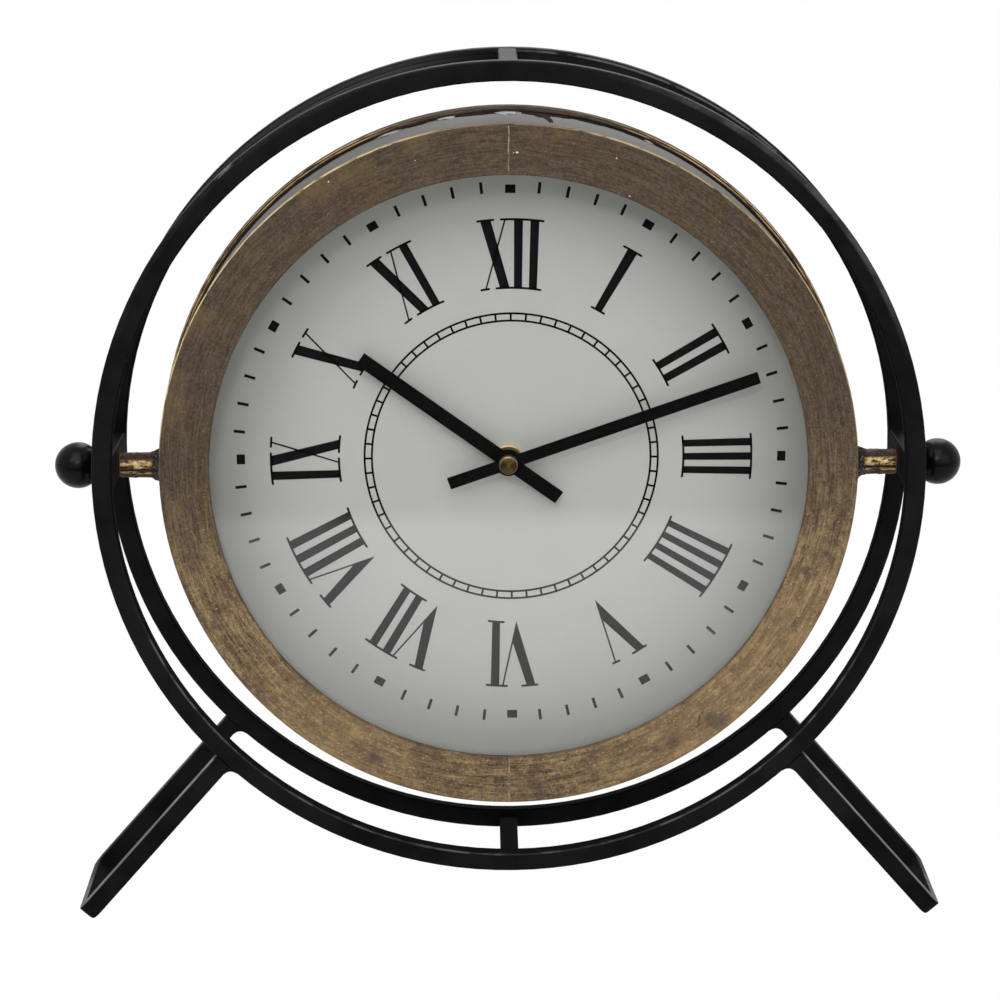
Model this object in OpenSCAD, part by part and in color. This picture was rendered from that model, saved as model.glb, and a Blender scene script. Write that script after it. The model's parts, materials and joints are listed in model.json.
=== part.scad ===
// Table clock: a round sheet-metal case that tilts between two iron hoops on legs.
// X runs to the right, Y to the back and Z up. The origin is on the floor, under the hoops' centre.
// Depths are Y places, counted from the tilt axis, negative towards the front.

/* [Stand] */
// Radial width of the two hoops
hoop_w = 7.5; // [5:0.5:9]
// Width of the posts' and legs' iron bar, seen from the front
bar_w = 7; // [5:0.5:9]
// Thickness of the iron bar
bar_t = 5; // [3:0.5:8]
// Radius on the long edges of the iron bar
bar_edge = 0.8; // [0.3:0.1:1.2]
// Clear distance between the two hoops
hoop_gap = 41.3; // [34:0.1:60]
// Radial thickness of the cross posts
post_t = 5; // [3:0.5:6.5]
// Slope of the legs from level
leg_angle = 48.9; // [45:0.1:56]
// Distance by which the line of a leg passes the hoops' centre
leg_offset = 9.9; // [6:0.1:20]
// Reach of a leg past the hoops, along its slope
leg_len = 83.8; // [60:0.1:110]
// Radius of the ground weld inside the root of each leg
root_weld_r = 3.4; // [1.5:0.1:5]
// Inner radius of the bends at a foot
foot_inner_r = 1.5; // [1:0.1:4]
// Slant of a leg's end from square
foot_slant = 7; // [0:0.5:12]
// Radius of the edge that a foot stands on
foot_edge = 2; // [1:0.1:2.4]
// Depth ground off that edge
foot_flat = 0.3; // [0.2:0.05:0.5]

/* [Tilt pivots] */
// Clear distance between the case wall and the pivot lugs
pivot_span = 17; // [15:0.5:40]
// Height of the tilt axis above the hoops' centre
pivot_rise = 0.4; // [0:0.1:2]
// Height of a pivot lug above the tilt axis
lug_above = 8; // [6:0.1:10]
// Depth of a pivot lug below the tilt axis
lug_below = 4.6; // [4:0.1:8]
// Radius of the bronze pivot stubs
stub_r = 4.8; // [4:0.1:6]
// Radius of the weld flare where a stub meets the case
stub_flare_r = 6.6; // [5.5:0.1:8]
// Length of the weld flare
stub_flare_len = 2.6; // [1.5:0.1:4]
// Radius of the steel studs
stud_r = 2; // [1.5:0.1:2.5]
// Radius of the ball knobs
ball_r = 8.8; // [7:0.1:11]
// Thickness of the friction washers
washer_t = 0.6; // [0.4:0.1:0.8]

/* [Case] */
// Outer radius of the case wall
case_r = 131; // [110:0.5:160]
// Depth of the case in front of the tilt axis
case_front = 16.5; // [14:0.5:19]
// Depth of the case behind the tilt axis
case_back = 25.6; // [25:0.1:28]
// Thickness of the case wall
wall_t = 1.2; // [0.8:0.1:1.6]
// Width of the bezel, seen from the front
bezel_w = 18.5; // [15:0.5:24]
// Thickness of the bezel sheet
bezel_t = 1.6; // [1:0.1:2.2]
// Width of the rolled rear bead
bead_w = 5.4; // [4.5:0.1:6.5]
// Height of the rear bead over the wall
bead_proud = 2.5; // [1:0.1:2.6]
// Thickness of the glass
glass_t = 2; // [1.5:0.1:3]
// Depth of the dial's face behind the tilt axis
dial_depth = 7; // [5:0.5:7]
// Thickness of the dial plate
dial_t = 1.5; // [1:0.1:2]
// Thickness of the back cover
cover_t = 1.2; // [0.8:0.1:1.6]

/* [Hands] */
// Length of the minute hand from its axis
minute_len = 100.5; // [85:0.5:107]
// Width of the minute hand
minute_w = 4.6; // [3:0.1:6]
// Length of the hour hand from its axis
hour_len = 69; // [55:0.5:80]
// Width of the hour hand
hour_w = 5.4; // [4:0.1:7]
// Length of both tails
tail_len = 24; // [16:0.5:30]
// Thickness of a hand
hand_t = 0.6; // [0.4:0.1:0.8]
// Hour shown at rest
rest_hour = 10; // [1:1:12]
// Minutes past the hour shown at rest
rest_minute = 11.8; // [0:0.1:59.9]

/* [Movement] */
// Wall thickness of the housing
housing_t = 1.5; // [1.3:0.1:2]
// Radius of the battery
battery_r = 7.1; // [6:0.1:8]
// Length of the battery without its button
battery_len = 49; // [46:0.1:60]
// Radius of the setting knob
knob_r = 7; // [5:0.5:9]
// Height of the setting knob
knob_h = 2.3; // [2:0.1:4]

/* [Hidden] */

// Roundness of large rings, of small turned pieces and of rounded corners
ring_fn = 180;
turn_fn = 48;
corner_steps = 3;
// Overrun of every cut past the surface that it opens
cut = 1;
// Gap between pieces that move against each other, and the play of a shaft in its bore
gap = 0.3;
fit = 0.05;

// Stand
hoop_r = case_r + pivot_span + hoop_w;
leg_reach = hoop_r + leg_len;
leg_inner = leg_offset - bar_w / 2;
leg_outer = leg_offset + bar_w / 2;
leg_root = sqrt(hoop_r * hoop_r - leg_outer * leg_outer) - hoop_w;
foot_bend_r = foot_inner_r + bar_t;
foot_line = leg_reach * cos(foot_slant) + leg_offset * sin(foot_slant);
foot_reach = leg_reach + bar_w / 2 * tan(foot_slant);
foot_at = foot_corner(foot_edge, leg_inner + foot_edge);
hoop_z = foot_at[0] * sin(leg_angle) - foot_at[1] * cos(leg_angle) + foot_edge - foot_flat;
case_z = hoop_z + pivot_rise;
stand_half = hoop_gap / 2 + bar_t;
weld_inset = 0.3;

// Tilt pivots
lug_inner = hoop_r - hoop_w;
washer_out = lug_inner - gap;
stub_out = washer_out - washer_t;
washer_r = stub_r - gap;
ball_flat_r = 2 * stud_r;
ball_steps = 24;
ball_x = hoop_r + gap + sqrt(ball_r * ball_r - ball_flat_r * ball_flat_r);
stud_in = (case_r + stub_out) / 2 - stud_r;
stud_out = ball_x + stud_r;

// Case, from the front to the back
opening_r = case_r - bezel_w;
bezel_back = -case_front + bezel_t;
gasket_t = 0.5;
gasket_w = 12;
glass_front = bezel_back + gasket_t;
glass_back = glass_front + glass_t;
flange_t = 1;
flange_len = 6;
bezel_lip = 0.4;
stack_r = case_r - wall_t - flange_t - gap;
spacer_t = 1;
dial_back = dial_depth + dial_t;
cover_inset = 2.8;
cover_back = case_back - cover_inset;
cover_front = cover_back - cover_t;
sleeve_len = 12;
bead_front = case_back - bead_w;
groove_w = 1.2;
bead_turn = 80;
tab_w = 10;
tab_t = 1.2;
tab_reach = 10;
tab_leg = 7;
tab_bearing = 45;
screw_ring_r = stack_r - tab_reach / 2 - tab_t;
screw_r = 1.3;
screw_head_r = 2.8;
screw_head_h = 1.7;

// Movement: u runs to the right and v up from the hands' axis
washer_depth = 0.6;
housing_front = dial_back + washer_depth;
inside_front = housing_front + housing_t;
contact_t = 0.4;
contact_bow = 1.1;
button_r = 2.75;
button_len = 1.2;
inside_half = (battery_len + button_len) / 2 + contact_bow + gap;
housing_w = 2 * (inside_half + housing_t);
core_share = 0.547;
core_half = inside_half * core_share;
train_low = -core_half - gap;
train_high = core_half + 4 * housing_t;
housing_top = train_high + housing_t;
bay_h = 2 * battery_r + 2 * gap + 0.2 * battery_r;
bay_high = train_low - housing_t;
bay_low = bay_high - bay_h;
housing_bottom = housing_t - bay_low;
housing_corner = 2;
battery_v = bay_low + bay_h / 2;
battery_y = inside_front + gap + battery_r;
opening_play = 3;
bay_notch_r = 5 * housing_t;

// Threaded neck and nut
neck_r = 4;
neck_over = 0.4;
nut_r = 5.7;
nut_t = 2.4;
neck_out = dial_depth - nut_t - neck_over;

// Wheels: teeth and modules, meshing in pairs at one distance each
pressure_angle = 20;
tooth_play = 0.09;
wheel_t = 1;
module_share = 0.01245;
setting_module_share = 0.01887;
cannon_teeth = 12;
setting_teeth = 36;
setting_module = inside_half * setting_module_share;
setting_pinion_teeth = 10;
hour_teeth = 40;
setting_dist = (cannon_teeth + setting_teeth) * setting_module / 2;
hour_module = 2 * setting_dist / (setting_pinion_teeth + hour_teeth);
pinion_teeth = 8;
center_teeth = 60;
center_module = inside_half * module_share;
third_dist = (center_teeth + pinion_teeth) * center_module / 2;
third_teeth = 64;
third_module = 2 * third_dist / (third_teeth + pinion_teeth);
seconds_teeth = 60;
seconds_module = inside_half * module_share;
inter_pinion_teeth = 10;
inter_dist = (seconds_teeth + inter_pinion_teeth) * seconds_module / 2;
inter_teeth = 40;
rotor_dist = (inter_teeth + pinion_teeth) * seconds_module / 2;

// Bearings from the hands' axis at which the arbors stand
setting_bearing = 25;
third_bearing = 155;
inter_bearing = -40;
rotor_bearing = 10;
setting_at = [setting_dist * cos(setting_bearing), setting_dist * sin(setting_bearing)];
third_at = [third_dist * cos(third_bearing), third_dist * sin(third_bearing)];
inter_at = [inter_dist * cos(inter_bearing), inter_dist * sin(inter_bearing)];
rotor_at = inter_at + [rotor_dist * cos(rotor_bearing), rotor_dist * sin(rotor_bearing)];

// Depths of the wheels, in layers from the inside of the housing's front wall
hour_y = inside_front + 0.3 * wheel_t;
setting_y = hour_y + 2 * wheel_t;
center_y = setting_y + 2 * wheel_t;
stator_y = center_y + 1.8 * wheel_t;
third_y = center_y + 2.4 * wheel_t;
seconds_y = third_y + 1.6 * wheel_t;
inter_y = seconds_y + 1.4 * wheel_t;
end_play = gap;
lid_front = inter_y + 2 * wheel_t + end_play;
housing_back = lid_front + housing_t;
arbor_r = 0.8;
pivot_r = 0.5;
pivot_len = 1;
shaft_r = 1.5;
tube_r = 2.5;
tube_over = 3;
tube_front = neck_out - tube_over;
collar_r = 2.2;
knob_stem_r = 1.5;
knob_gap = gap;
knob_ribs = 30;

// Hands
hour_front = tube_front + hand_t;
hour_hub_r = 5;
minute_over = 2.1;
minute_front = tube_front - minute_over;
minute_hub_r = 4.9;
hub_t = 1.2;
cap_r = 3.5;
cap_len = 3.8;
cap_cover = 1;
minute_angle = rest_minute * 6;
hour_angle = rest_hour * 30 + rest_minute / 2;

// Coil
coil_r_share = 0.1019;
coil_r = inside_half * coil_r_share;
wall_gap = 0.2;
coil_u = inside_half - coil_r - wall_gap;
coil_flange_t = 1;
coil_half = core_half - 3.5 * coil_flange_t;
core_w = 3.4;
core_t = 1.2;
stator_t = 1.2;
rotor_r_share = 0.3031;
rotor_r = rotor_dist * rotor_r_share;
rotor_gap = 0.4;
rotor_hole_r = rotor_r + rotor_gap;
stator_w = 2 * (rotor_hole_r + stator_t);
rotor_len = 4;
coil_y = stator_y + stator_t + core_t / 2;

// Circuit board
board_w = 7.6;
board_h = 13;
board_t = 0.8;
board_at = [inside_half - board_w - board_t / 2, train_low + board_t / 2];
chip_r = 2.4;
chip_t = 0.5;
crystal_r = 0.9;
crystal_len = 6;

// The centre of a rounding of radius r between the slanted end of a leg and one of its sides
function foot_corner(r, off) = [(foot_line - r - off * sin(foot_slant)) / cos(foot_slant), off];

// An arc of points from one angle to another
function arc(x, y, r, from, to) = let (steps = 2 * corner_steps)
    [for (i = [0:steps]) let (a = from + i * (to - from) / steps) [x + r * cos(a), y + r * sin(a)]];

// An arc of points round one corner of a rounded outline
function corner_arc(x, y, r, start) =
    [for (i = [0:corner_steps]) let (a = start + i * 90 / corner_steps) [x + r * cos(a), y + r * sin(a)]];

// A rectangle from x0, y0 to x1, y1 with rounded corners
function rounded(x0, x1, y0, y1, r) = concat(
    corner_arc(x1 - r, y1 - r, r, 0), corner_arc(x0 + r, y1 - r, r, 90),
    corner_arc(x0 + r, y0 + r, r, 180), corner_arc(x1 - r, y0 + r, r, 270));

// Involute tooth form: the angle of a flank at a radius, from the tooth's middle
base_share = cos(pressure_angle);
function roll(a) = tan(a) * 180 / PI - a;
function flank(teeth, m, r) = let (pitch = teeth * m / 2, rb = pitch * base_share)
    90 / teeth - tooth_play * m / pitch * 180 / PI + roll(pressure_angle)
    - roll(acos(min(1, rb / max(r, rb))));
tip_share = 0.8;
root_share = 1.1;
function flank_radii(teeth, m) = let (pitch = teeth * m / 2, rb = pitch * base_share,
    root = pitch - root_share * m, tip = pitch + tip_share * m)
    rb > root ? [root, rb, pitch, tip] : [root, pitch, tip];
function gear_points(teeth, m, turn) = let (radii = flank_radii(teeth, m), n = len(radii) - 1)
    [for (k = [0:teeth - 1]) for (side = [-1, 1]) for (i = [0:n])
        let (r = radii[side < 0 ? i : n - i], a = turn + k * 360 / teeth + side * flank(teeth, m, r))
        [r * cos(a), r * sin(a)]];

// Turned piece about the Y axis: points are radius and depth
module turned(points, fn = ring_fn) {
    translate([0, 0, case_z]) rotate([-90, 0, 0]) rotate_extrude($fn = fn) polygon(points);
}

// Turned piece about the tilt axis: points are radius and distance to the right
module turned_x(points, fn = turn_fn) {
    translate([0, 0, case_z]) rotate([0, 90, 0]) rotate_extrude($fn = fn) polygon(points);
}

// Flat piece in the plane of the dial: drawn as seen from the front, from depth y0 to y1
module plate(y0, y1) {
    translate([0, y1, case_z]) rotate([90, 0, 0]) linear_extrude(y1 - y0) children();
}

module disc(at, r, y0, y1, fn = turn_fn) {
    plate(y0, y1) translate(at) circle(r, $fn = fn);
}

module block(u0, u1, v0, v1, y0, y1) {
    plate(y0, y1) translate([u0, v0]) square([u1 - u0, v1 - v0]);
}

module rounded_block(u0, u1, v0, v1, y0, y1, r) {
    plate(y0, y1) polygon(rounded(u0, u1, v0, v1, r));
}

module left_side() {
    mirror([1, 0, 0]) children();
}

// Stand

module hoop(y0) {
    color([0.09, 0.09, 0.09])
        translate([0, 0, hoop_z]) rotate([-90, 0, 0]) rotate_extrude($fn = ring_fn)
            polygon(rounded(hoop_r - hoop_w, hoop_r, y0, y0 + bar_t, bar_edge));
}

module front_hoop() {
    hoop(-stand_half);
}

module back_hoop() {
    hoop(hoop_gap / 2);
}

// A bar between the hoops, flush with their outer edge, at a bearing from straight up
module cross_post(bearing) {
    color([0.09, 0.09, 0.09])
        translate([0, hoop_gap / 2, hoop_z]) rotate([0, bearing, 0]) rotate([90, 0, 0])
            linear_extrude(hoop_gap)
                polygon(rounded(-bar_w / 2, bar_w / 2, hoop_r - post_t, hoop_r - bar_edge / 4, bar_edge));
}

// One leg: a flat bar bent into a U, welded to the hoops and ground flat where it stands
module leg() {
    color([0.09, 0.09, 0.09])
        difference() {
            translate([0, 0, hoop_z]) rotate([0, leg_angle, 0]) {
                intersection() {
                    leg_bar();
                    translate([0, stand_half + cut, 0]) rotate([90, 0, 0])
                        linear_extrude(2 * (stand_half + cut)) polygon(leg_outline());
                }
                for (y0 = [-stand_half, hoop_gap / 2]) root_weld(y0);
            }
            translate([0, stand_half + cut, hoop_z]) rotate([90, 0, 0])
                cylinder(r = hoop_r, h = 2 * (stand_half + cut), $fn = ring_fn);
            translate([0, -stand_half - cut, -hoop_r])
                cube([2 * hoop_r, 2 * (stand_half + cut), hoop_r]);
        }
}

// A leg from the front, along its slope: the end is slanted and its two corners are rounded
function leg_outline() = let (outer_at = foot_corner(bar_edge, leg_outer - bar_edge)) concat(
    [[leg_root - cut, leg_inner - cut], [foot_at[0], leg_inner - cut]],
    arc(foot_at[0], foot_at[1], foot_edge, -90, foot_slant),
    arc(outer_at[0], outer_at[1], bar_edge, foot_slant, 90),
    [[outer_at[0], leg_outer + cut], [leg_root - cut, leg_outer + cut]]);

// The weld in the corner between a leg's inner side and a hoop, ground to a hollow
module root_weld(y0) {
    weld_off = leg_inner - root_weld_r;
    weld_reach = sqrt((hoop_r + root_weld_r) * (hoop_r + root_weld_r) - weld_off * weld_off);
    in_hoop = (hoop_r - hoop_w / 2) / (hoop_r + root_weld_r);
    translate([0, y0 + bar_t - weld_inset, 0]) rotate([90, 0, 0])
        linear_extrude(bar_t - 2 * weld_inset)
            difference() {
                polygon([[leg_root, leg_inner + bar_edge], [weld_reach, leg_inner + bar_edge],
                    [weld_reach, weld_off], [weld_reach * in_hoop, weld_off * in_hoop]]);
                translate([weld_reach, weld_off]) circle(root_weld_r, $fn = turn_fn);
            }
}

module leg_bar() {
    for (side = [-1, 1]) {
        translate([foot_reach - foot_bend_r, side * (hoop_gap / 2 + bar_t / 2), leg_offset])
            rotate([90, 0, -90]) linear_extrude(foot_reach - foot_bend_r - leg_root)
                polygon(rounded(-bar_t / 2, bar_t / 2, -bar_w / 2, bar_w / 2, bar_edge));
        translate([foot_reach - foot_bend_r, side * (stand_half - foot_bend_r), leg_offset])
            rotate([0, 0, side > 0 ? 0 : -90]) rotate_extrude(angle = 90, $fn = turn_fn)
                polygon(rounded(foot_inner_r, foot_bend_r, -bar_w / 2, bar_w / 2, bar_edge));
    }
    translate([foot_reach - bar_t / 2, stand_half - foot_bend_r, leg_offset]) rotate([90, 0, 0])
        linear_extrude(2 * (stand_half - foot_bend_r))
            polygon(rounded(-bar_t / 2, bar_t / 2, -bar_w / 2, bar_w / 2, bar_edge));
}

// A lug between the hoops, bored for its stud
module lug() {
    color([0.09, 0.09, 0.09])
        difference() {
            translate([0, hoop_gap / 2, case_z]) rotate([90, 0, 0]) linear_extrude(hoop_gap)
                polygon(rounded(lug_inner, hoop_r, -lug_below, lug_above, bar_edge));
            translate([lug_inner - cut, 0, case_z]) rotate([0, 90, 0])
                cylinder(r = stud_r + fit, h = hoop_w + 2 * cut, $fn = turn_fn);
        }
}

// Tilt pivots

// A ball with a small flat towards its lug and a blind hole for the stud
module ball_knob() {
    start = asin(ball_flat_r / ball_r);
    color([0.08, 0.08, 0.08])
        turned_x(concat([[stud_r, hoop_r + gap]],
            [for (i = [0:ball_steps]) let (a = start + (180 - start) * i / ball_steps)
                [ball_r * sin(a), ball_x - ball_r * cos(a)]],
            [[0, stud_out], [stud_r, stud_out]]));
}

module stud() {
    color([0.6, 0.6, 0.58])
        turned_x([[0, stud_in], [stud_r, stud_in], [stud_r, stud_out], [0, stud_out]]);
}

// A stub with its weld flare, coped to the case wall and bored for the stud
module stub() {
    color([0.55, 0.45, 0.27])
        difference() {
            turned_x([[0, case_r - stub_flare_len], [stub_flare_r, case_r - stub_flare_len],
                [stub_flare_r, case_r], [stub_r, case_r + stub_flare_len],
                [stub_r, stub_out], [stud_r + fit, stub_out],
                [stud_r + fit, stud_in - gap], [0, stud_in - gap]]);
            disc([0, 0], case_r, -stub_flare_r - cut, stub_flare_r + cut, ring_fn);
        }
}

module friction_washer() {
    color([0.3, 0.18, 0.12])
        turned_x([[stud_r + fit, stub_out], [washer_r, stub_out],
            [washer_r, washer_out], [stud_r + fit, washer_out]]);
}

// Case

module case_wall() {
    color([0.45, 0.4, 0.33])
        turned([[case_r - wall_t, bezel_back], [case_r, bezel_back],
            [case_r, bead_front - groove_w], [case_r - wall_t, bead_front - groove_w]]);
}

// The rear ring: two rolled beads in front of the opening, and a sleeve that fits inside the wall
module rear_ring() {
    bead_r = case_r + bead_proud;
    r = bead_w / 4;
    dip = bead_proud / 3;
    color([0.42, 0.34, 0.22])
        turned(concat(
            [[stack_r + gap, bead_front - sleeve_len], [case_r - wall_t, bead_front - sleeve_len],
                [case_r - wall_t, bead_front]],
            arc(bead_r - r, bead_front + r, r, -bead_turn, bead_turn),
            arc(bead_r - r, bead_front + 3 * r, r, -bead_turn, bead_turn),
            [[case_r - wall_t - dip, case_back], [stack_r + gap, case_back - dip]]));
}

module bezel_ring() {
    lip_r = case_r + bezel_lip;
    edge = bezel_t * 0.6;
    turned(concat(
        [[opening_r, bezel_back], [opening_r, -case_front + bar_edge / 4],
            [opening_r + bar_edge / 4, -case_front]],
        [for (i = [0:corner_steps]) let (a = -90 + i * 90 / corner_steps)
            [lip_r - edge + edge * cos(a), -case_front + edge + edge * sin(a)]],
        [[lip_r, bezel_back], [case_r - wall_t, bezel_back],
            [case_r - wall_t, bezel_back + flange_len],
            [case_r - wall_t - flange_t, bezel_back + flange_len],
            [case_r - wall_t - flange_t, bezel_back]]));
}

module bezel_half() {
    color([0.5, 0.41, 0.28])
        difference() {
            bezel_ring();
            translate([-2 * case_r, -case_front - cut, 0])
                cube([2 * case_r, case_front + case_back, 2 * case_z]);
        }
}

module glass() {
    color([0.8, 0.9, 0.9, 0.3])
        turned([[0, glass_front], [stack_r, glass_front], [stack_r, glass_back], [0, glass_back]]);
}

module glass_gasket() {
    color([0.2, 0.2, 0.2])
        turned([[stack_r - gasket_w, bezel_back], [stack_r, bezel_back],
            [stack_r, glass_front], [stack_r - gasket_w, glass_front]]);
}

module spacer(y0, y1) {
    turned([[stack_r - spacer_t, y0], [stack_r, y0], [stack_r, y1], [stack_r - spacer_t, y1]]);
}

module front_spacer() {
    color([0.7, 0.69, 0.64]) spacer(glass_back, dial_depth);
}

module rear_spacer() {
    color([0.35, 0.3, 0.24]) spacer(dial_back, cover_front - tab_t);
}

module dial() {
    color([0.86, 0.86, 0.83])
        turned([[neck_r + fit, dial_depth], [stack_r, dial_depth],
            [stack_r, dial_back], [neck_r + fit, dial_back]]);
}

// Sheet tabs inside the rear ring, each with a screw hole
module cover_tabs() {
    color([0.35, 0.3, 0.24])
        for (k = [0:3])
            difference() {
                intersection() {
                    disc([0, 0], stack_r + gap, dial_back, cover_front, ring_fn);
                    union() {
                        tab_part(k, -tab_reach, cover_front - tab_t);
                        tab_part(k, gap / 2, cover_front - tab_leg);
                    }
                }
                disc(tab_point(k), screw_r, cover_front - tab_t - cut, cover_front + cut);
            }
}

module tab_part(k, inner, y0) {
    plate(y0, cover_front) rotate(tab_bearing + 90 * k)
        translate([stack_r + inner, -tab_w / 2]) square([2 * tab_reach, tab_w]);
}

function tab_point(k) = screw_ring_r * [cos(tab_bearing + 90 * k), sin(tab_bearing + 90 * k)];

module back_cover() {
    half = housing_w / 2 + opening_play;
    color([0.16, 0.14, 0.12])
        plate(cover_front, cover_back)
            difference() {
                circle(stack_r, $fn = ring_fn);
                polygon(rounded(-half, half, -housing_bottom - opening_play, housing_top + opening_play,
                    2 * housing_corner));
                for (k = [0:3]) translate(tab_point(k)) circle(screw_r + gap, $fn = turn_fn);
            }
}

module cover_screws() {
    color([0.7, 0.7, 0.68])
        for (k = [0:3]) translate([tab_point(k)[0], 0, tab_point(k)[1]])
            turned([[0, cover_front - tab_t - screw_r], [screw_r - fit, cover_front - tab_t],
                [screw_r - fit, cover_back], [screw_head_r, cover_back],
                [screw_head_r, cover_back + screw_head_h / 2],
                [screw_head_r * 0.8, cover_back + screw_head_h], [0, cover_back + screw_head_h]], turn_fn);
}

// Movement

module bearing_hole(at, y0, y1, r = pivot_r) {
    disc(at, r + fit, y0, y1);
}

module movement_housing() {
    front_blind = inside_front - pivot_len - 0.2 * pivot_len;
    color([0.07, 0.07, 0.08])
        difference() {
            union() {
                rounded_block(-housing_w / 2, housing_w / 2, -housing_bottom, housing_top,
                    housing_front, housing_back, housing_corner);
                disc([0, 0], neck_r, neck_out, housing_front);
            }
            difference() {
                rounded_block(-inside_half, inside_half, train_low, train_high,
                    inside_front, housing_back + cut, housing_corner / 2);
                for (side = [-1, 1])
                    disc([side * (inside_half - housing_t / 2), train_high - housing_t / 2],
                        housing_t, housing_front, lid_front);
            }
            rounded_block(-inside_half, inside_half, bay_low, bay_high,
                inside_front, housing_back + cut, housing_corner / 2);
            block(-inside_half, inside_half, bay_high, train_low + housing_corner / 2,
                lid_front, housing_back + cut);
            disc([0, -housing_bottom], bay_notch_r,
                (inside_front + housing_front + housing_back) / 3, housing_back + cut);
            disc([0, 0], tube_r + fit, neck_out - cut, inside_front + cut);
            for (at = [setting_at, third_at, inter_at, rotor_at])
                bearing_hole(at, front_blind, inside_front + cut);
        }
}

module movement_cover() {
    blind = lid_front + pivot_len + 0.2 * pivot_len;
    color([0.1, 0.1, 0.11])
        difference() {
            rounded_block(-inside_half + fit, inside_half - fit, bay_high, train_high - fit,
                lid_front, housing_back, housing_corner / 2);
            for (at = [third_at, inter_at, rotor_at]) bearing_hole(at, lid_front - cut, blind);
            bearing_hole([0, 0], lid_front - cut, blind);
            bearing_hole(setting_at, lid_front - cut, housing_back + cut, knob_stem_r);
        }
}

module circuit_board() {
    v0 = board_at[1];
    top = inside_front + board_t;
    color([0.1, 0.3, 0.15])
        union() {
            block(board_at[0], board_at[0] + board_w, v0, v0 + board_h, inside_front, top);
            disc([board_at[0] + board_w / 2, v0 + board_h / 2], chip_r, top, top + chip_t);
            translate([board_at[0] + board_w / 4, top + crystal_r, case_z + v0 + crystal_r])
                cylinder(r = crystal_r, h = crystal_len, $fn = turn_fn);
        }
}

// The coil: copper wound on a spool with two flanges, round a flat iron core
module coil() {
    color([0.7, 0.38, 0.2])
        difference() {
            translate([coil_u, coil_y, case_z]) rotate_extrude($fn = turn_fn)
                polygon([[0, -coil_half], [coil_r, -coil_half], [coil_r, coil_flange_t - coil_half],
                    [coil_r * 0.9, coil_flange_t - coil_half], [coil_r * 0.9, coil_half - coil_flange_t],
                    [coil_r, coil_half - coil_flange_t], [coil_r, coil_half], [0, coil_half]]);
            block(coil_u - core_w / 2, coil_u + core_w / 2, -coil_half - cut, coil_half + cut,
                coil_y - core_t / 2, coil_y + core_t / 2);
        }
}

module coil_core() {
    color([0.5, 0.5, 0.5])
        block(coil_u - core_w / 2, coil_u + core_w / 2, -core_half, core_half,
            coil_y - core_t / 2, coil_y + core_t / 2);
}

// The stator: a plate from both ends of the core to the hole round the rotor
module stator() {
    far = coil_u + core_w / 2;
    near = rotor_at[0] - stator_w / 2;
    bend = coil_u - coil_r - gap;
    color([0.55, 0.55, 0.56])
        plate(stator_y, stator_y + stator_t)
            difference() {
                translate([near, -core_half]) square([far - near, 2 * core_half]);
                translate([bend, -coil_half - gap]) square([far, 2 * (coil_half + gap)]);
                translate(rotor_at) circle(rotor_hole_r, $fn = turn_fn);
            }
}

// Bent strips at both ends of the battery bay
module battery_contacts() {
    color([0.8, 0.78, 0.6])
        for (side = [-1, 1])
            translate([side * inside_half, 0, 0]) mirror([side > 0 ? 1 : 0, 0, 0])
                plate(inside_front + gap, housing_back - housing_t)
                    polygon([[0, battery_v - battery_r + gap], [contact_t, battery_v - battery_r + gap],
                        [contact_t, battery_v - battery_r / 2], [contact_bow, battery_v],
                        [contact_t, battery_v + battery_r / 2], [contact_t, battery_v + battery_r - gap],
                        [0, battery_v + battery_r - gap]]);
}

module battery() {
    start = -inside_half + contact_bow + gap;
    button_end = start + battery_len + button_len - gap / 2;
    color([0.2, 0.3, 0.25])
        translate([0, battery_y, battery_v]) turned_x([[0, start], [battery_r - gap, start],
            [battery_r, start + gap], [battery_r, start + battery_len - gap],
            [battery_r - gap, start + battery_len], [button_r, start + battery_len],
            [button_r, button_end], [0, button_end]]);
}

module rubber_washer() {
    color([0.1, 0.1, 0.1])
        turned([[neck_r + fit, dial_back], [nut_r * 2, dial_back],
            [nut_r * 2, housing_front], [neck_r + fit, housing_front]], turn_fn);
}

module dial_nut() {
    color([0.75, 0.6, 0.3])
        turned([[neck_r + fit, dial_depth - nut_t], [nut_r - gap, dial_depth - nut_t],
            [nut_r, dial_depth - nut_t + gap], [nut_r, dial_depth], [neck_r + fit, dial_depth]], turn_fn);
}

// A toothed wheel at a place, from depth y0 over its thickness
module wheel(at, teeth, m, turn, y0, t = wheel_t) {
    plate(y0, y0 + t) translate(at) polygon(gear_points(teeth, m, turn));
}

// A round arbor with thin pivots at both ends
module arbor(at, front, back) {
    disc(at, arbor_r, front, back);
    disc(at, pivot_r, inside_front - pivot_len, front);
    disc(at, pivot_r, back, lid_front + pivot_len);
}

module bored(at, r, y0, y1) {
    difference() {
        children();
        disc(at, r + fit, y0 - cut, y1 + cut);
    }
}

// The shaft of the minute hand, with the small wheel that drives the motion work
module minute_shaft() {
    back = center_y + wheel_t + gap + wheel_t;
    color([0.75, 0.62, 0.35])
        difference() {
            union() {
                disc([0, 0], shaft_r, minute_front - cap_len + cap_cover, back);
                wheel([0, 0], cannon_teeth, setting_module, 0, setting_y, center_y - gap - setting_y);
                disc([0, 0], collar_r, center_y + wheel_t + gap, back);
            }
            bearing_hole([0, 0], back - pivot_len - 0.2 * pivot_len, back + cut);
        }
}

module hand_outline(length, w, angle, hub_r, bore_r) {
    difference() {
        union() {
            rotate(-angle) translate([-w / 2, -tail_len]) square([w, length + tail_len]);
            circle(hub_r, $fn = turn_fn);
        }
        circle(bore_r, $fn = turn_fn);
    }
}

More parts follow.
